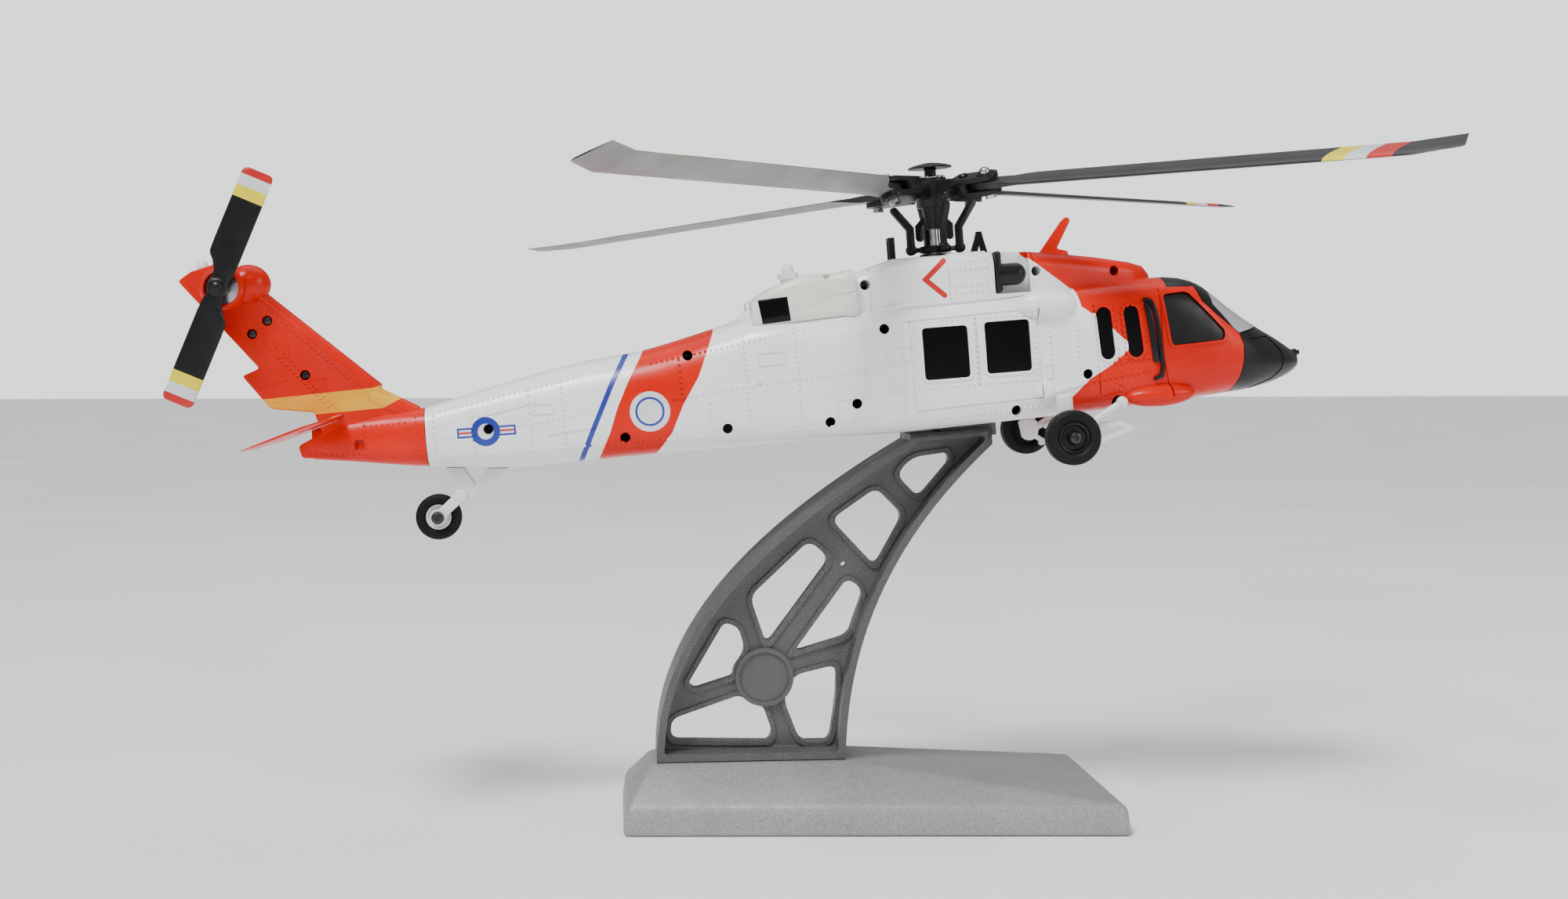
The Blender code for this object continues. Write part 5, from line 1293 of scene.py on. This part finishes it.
ROTOR_CAP = ((0.0, 9.0), (1.6, 8.95), (2.6, 8.75), (4.2, 8.5), (5.6, 8.15), (6.8, 7.75), (7.2, 7.4),
             (7.0, 7.1), (2.4, 7.2), (1.9, 6.8), (1.9, 4.6), (0.0, 4.6))
HUB_SCREW = ((0.0, 0.7), (0.55, 0.65), (0.8, 0.35), (0.8, -0.2), (0.0, -0.2))
HUB_SCREW_PLACE = (4.1, 4.0)  # distance from the mast's axis, and height


def build_rotor():
    node_piece("rotor_hub", "rotor_head", "rotor", 0.25)
    radius, height = HUB_SCREW_PLACE
    screws = []
    for azimuth, *_ in BLADES.values():
        for turn in (-16.0, 16.0):
            a = math.radians(azimuth + turn)
            place = (radius * math.cos(a), radius * math.sin(a), height)
            screws.append(turned(HUB_SCREW, place, steps=18))
    piece("hub_screws", together(screws), (STEEL,), None, "rotor")
    dimple = turned(((0.0, 12.0), (0.85, 12.0), (0.85, 8.3), (0.0, 8.3)), steps=6)
    piece("rotor_cap", solve(turned(ROTOR_CAP, steps=56), (CUT, dimple)), (BLACK_PLASTIC,),
          "head_cap", "rotor")
    mast = turned(((0.0, 4.3), (1.2, 4.3), (1.5, 4.0), (1.5, -63.0), (0.0, -63.0)), steps=36)
    piece("rotor_mast", mast, (STEEL,), "main_mast", "rotor")
    node_piece("swash_ring_upper", "swash_upper", "swashplate_upper", 0.2)
    node_piece("swash_ring_lower", "swash_lower", "swashplate_lower", 0.2)
    for number in BLADES:
        node_piece(f"control_link_{number}", f"pitch_link_{number}", "swashplate_upper", 0.3)
        build_blade(number)


# distance from the hub, leading edge, trailing edge, thickness
TAIL_BLADE = ((1.0, -2.2, 2.2, 2.0), (5.0, -3.3, 3.0, 1.9), (7.4, -4.7, 3.1, 1.7),
              (8.8, -6.0, 3.2, 1.6), (10.0, -6.5, 3.2, 1.5), (14.0, -6.6, 3.2, 1.3),
              (36.2, -6.6, 3.2, 0.9), (37.2, -6.2, 2.9, 0.85), (37.8, -5.2, 2.0, 0.8))
TAIL_SECTION = ((0.0, 0.2), (0.05, 0.6), (0.16, 0.9), (0.34, 1.0), (0.7, 0.7), (0.95, 0.35),
                (1.0, 0.2))
TAIL_ROTOR_HUB = ((0.0, 3.0), (0.9, 2.9), (1.6, 2.4), (1.6, 1.75), (2.5, 1.7), (2.9, 1.4),
                  (2.9, -1.4), (2.5, -1.6), (0.8, -1.6), (0.8, -16.0), (0.0, -16.0))


def tail_blade(direction):
    rings = []
    for r, lead, trail, thick in TAIL_BLADE:
        ring = [(lead + t * (trail - lead), 0.5 * thick * share) for t, share in TAIL_SECTION]
        ring += [(x, -y) for x, y in reversed(ring)]
        rings.append([(direction * x, y, direction * r) for x, y in ring])
    return loft(rings)


def build_tail_rotor():
    """Two paddle blades on a small hub, with coloured bands near the tips."""
    place = HELI @ Matrix.Translation(TAIL_HUB * MM) @ Matrix.Rotation(TAIL_ROTOR_TURN, 4, "Y")
    hub = turned(TAIL_ROTOR_HUB, (0, 0, 0), (0, -1, 0), 40)
    whole = solve(together([tail_blade(-1), tail_blade(1), hub]), (BEVEL, 0.15, 1, 60.0))
    edges = [(2, direction * edge) for edge in band_edges(TAIL_BANDS) for direction in (-1, 1)]
    whole = repaint(whole, lambda centre, normal: band_colour(abs(centre.z), TAIL_BANDS),
                    planes=edges)
    piece("tail_rotor_blades", whole, (BLACK_PLASTIC, RED_PAINT, PALE_MARK, BLADE_YELLOW),
          "tail_rotor", "tail_rotor", place, 38.0)


# ---------------------------------------------------------------- pieces inside

INSIDE = {
    "chassis": BLACK_PLASTIC, "battery": BLUE_PAINT, "flight_board": BOARD, "motor_stator": COPPER,
    "motor_bell": STEEL, "tail_motor": STEEL, "servo_1": BLACK_PLASTIC, "servo_2": BLACK_PLASTIC,
    "servo_3": BLACK_PLASTIC, "servo_rod_1": STRUT, "servo_rod_2": STRUT, "servo_rod_3": STRUT,
    "stand_floor_plate": ARM_GREY,
}


def dress_inside():
    for node, material in INSIDE.items():
        mesh = frame["nodes"][node].data
        mesh.materials.clear()
        mesh.materials.append(material)


# ---------------------------------------------------------------- floor, light and camera

def look_at(obj, place, target):
    obj.location = place
    obj.rotation_euler = (Vector(target) - Vector(place)).to_track_quat("-Z", "Y").to_euler()


def soft_light(name, place, target, power, width, height):
    data = bpy.data.lights.new(name, "AREA")
    data.shape = "RECTANGLE"
    data.size = width
    data.size_y = height
    data.energy = power
    obj = bpy.data.objects.new(name, data)
    bpy.context.scene.collection.objects.link(obj)
    look_at(obj, place, target)


FLOOR_REACH = 6.0


def build_floor():
    corners = [(-1, -1), (1, -1), (1, 1), (-1, 1)]
    mesh = bpy.data.meshes.new("floor")
    mesh.from_pydata([(x * FLOOR_REACH, y * FLOOR_REACH, 0) for x, y in corners], [], [(0, 1, 2, 3)])
    mesh.materials.append(surface("pale_floor", (0.95, 0.95, 0.955), (0.97, 0.97, 0.975), 0.6,
                                  tone_scale=3.0, grain=0.0))
    floor = bpy.data.objects.new("floor", mesh)
    bpy.context.scene.collection.objects.link(floor)


ROOM_LIGHT = 0.32
EVEN_LIGHT = 2.5
BACKDROP_LIGHT = 1.7
LIT_PLACE = (-0.02, 0.0, 0.13)


def light_the_scene():
    world = bpy.data.worlds.new("studio")
    world.use_nodes = True
    background = world.node_tree.nodes["Background"]
    background.inputs["Color"].default_value = (0.98, 0.99, 1.0, 1.0)
    path = world.node_tree.nodes.new("ShaderNodeLightPath")
    level = world.node_tree.nodes.new("ShaderNodeMapRange")
    level.inputs["To Min"].default_value = ROOM_LIGHT
    level.inputs["To Max"].default_value = BACKDROP_LIGHT
    world.node_tree.links.new(path.outputs["Is Camera Ray"], level.inputs["Value"])
    world.node_tree.links.new(level.outputs["Result"], background.inputs["Strength"])
    bpy.context.scene.world = world
    soft_light("key_light", (-0.35, -0.75, 1.05), LIT_PLACE, 6.0, 0.8, 0.6)
    soft_light("fill_light", (0.85, -0.65, 0.55), LIT_PLACE, 4.0, 0.5, 0.5)
    data = bpy.data.lights.new("even_light", "SUN")
    data.energy = EVEN_LIGHT
    data.angle = math.radians(16.0)
    even = bpy.data.objects.new("even_light", data)
    bpy.context.scene.collection.objects.link(even)
    look_at(even, (-0.55, -0.6, 1.25), LIT_PLACE)
    soft_light("top_light", (0.0, 0.25, 1.2), LIT_PLACE, 4.0, 1.2, 0.8)


CAMERA_PLACE = (-0.0803, -0.6042, 0.1495)
CAMERA_TILT = math.radians(90.0 - 2.88)
CAMERA_TURN = math.radians(-5.1)
CAMERA_LENS = 43.1


def set_camera():
    data = bpy.data.cameras.new("camera")
    data.lens = CAMERA_LENS
    data.sensor_width = 36.0
    data.clip_start = 0.01
    camera = bpy.data.objects.new("camera", data)
    camera.location = CAMERA_PLACE
    camera.rotation_euler = (CAMERA_TILT, 0.0, CAMERA_TURN)
    bpy.context.scene.collection.objects.link(camera)
    bpy.context.scene.camera = camera


# ---------------------------------------------------------------- assembly

build_body()
build_panes()
build_nose()
build_roof()
build_screws()
build_engines()
build_tail()
build_stand()
build_gear()
build_tail_gear()
build_rotor()
build_tail_rotor()
dress_inside()
build_floor()
light_the_scene()
set_camera()
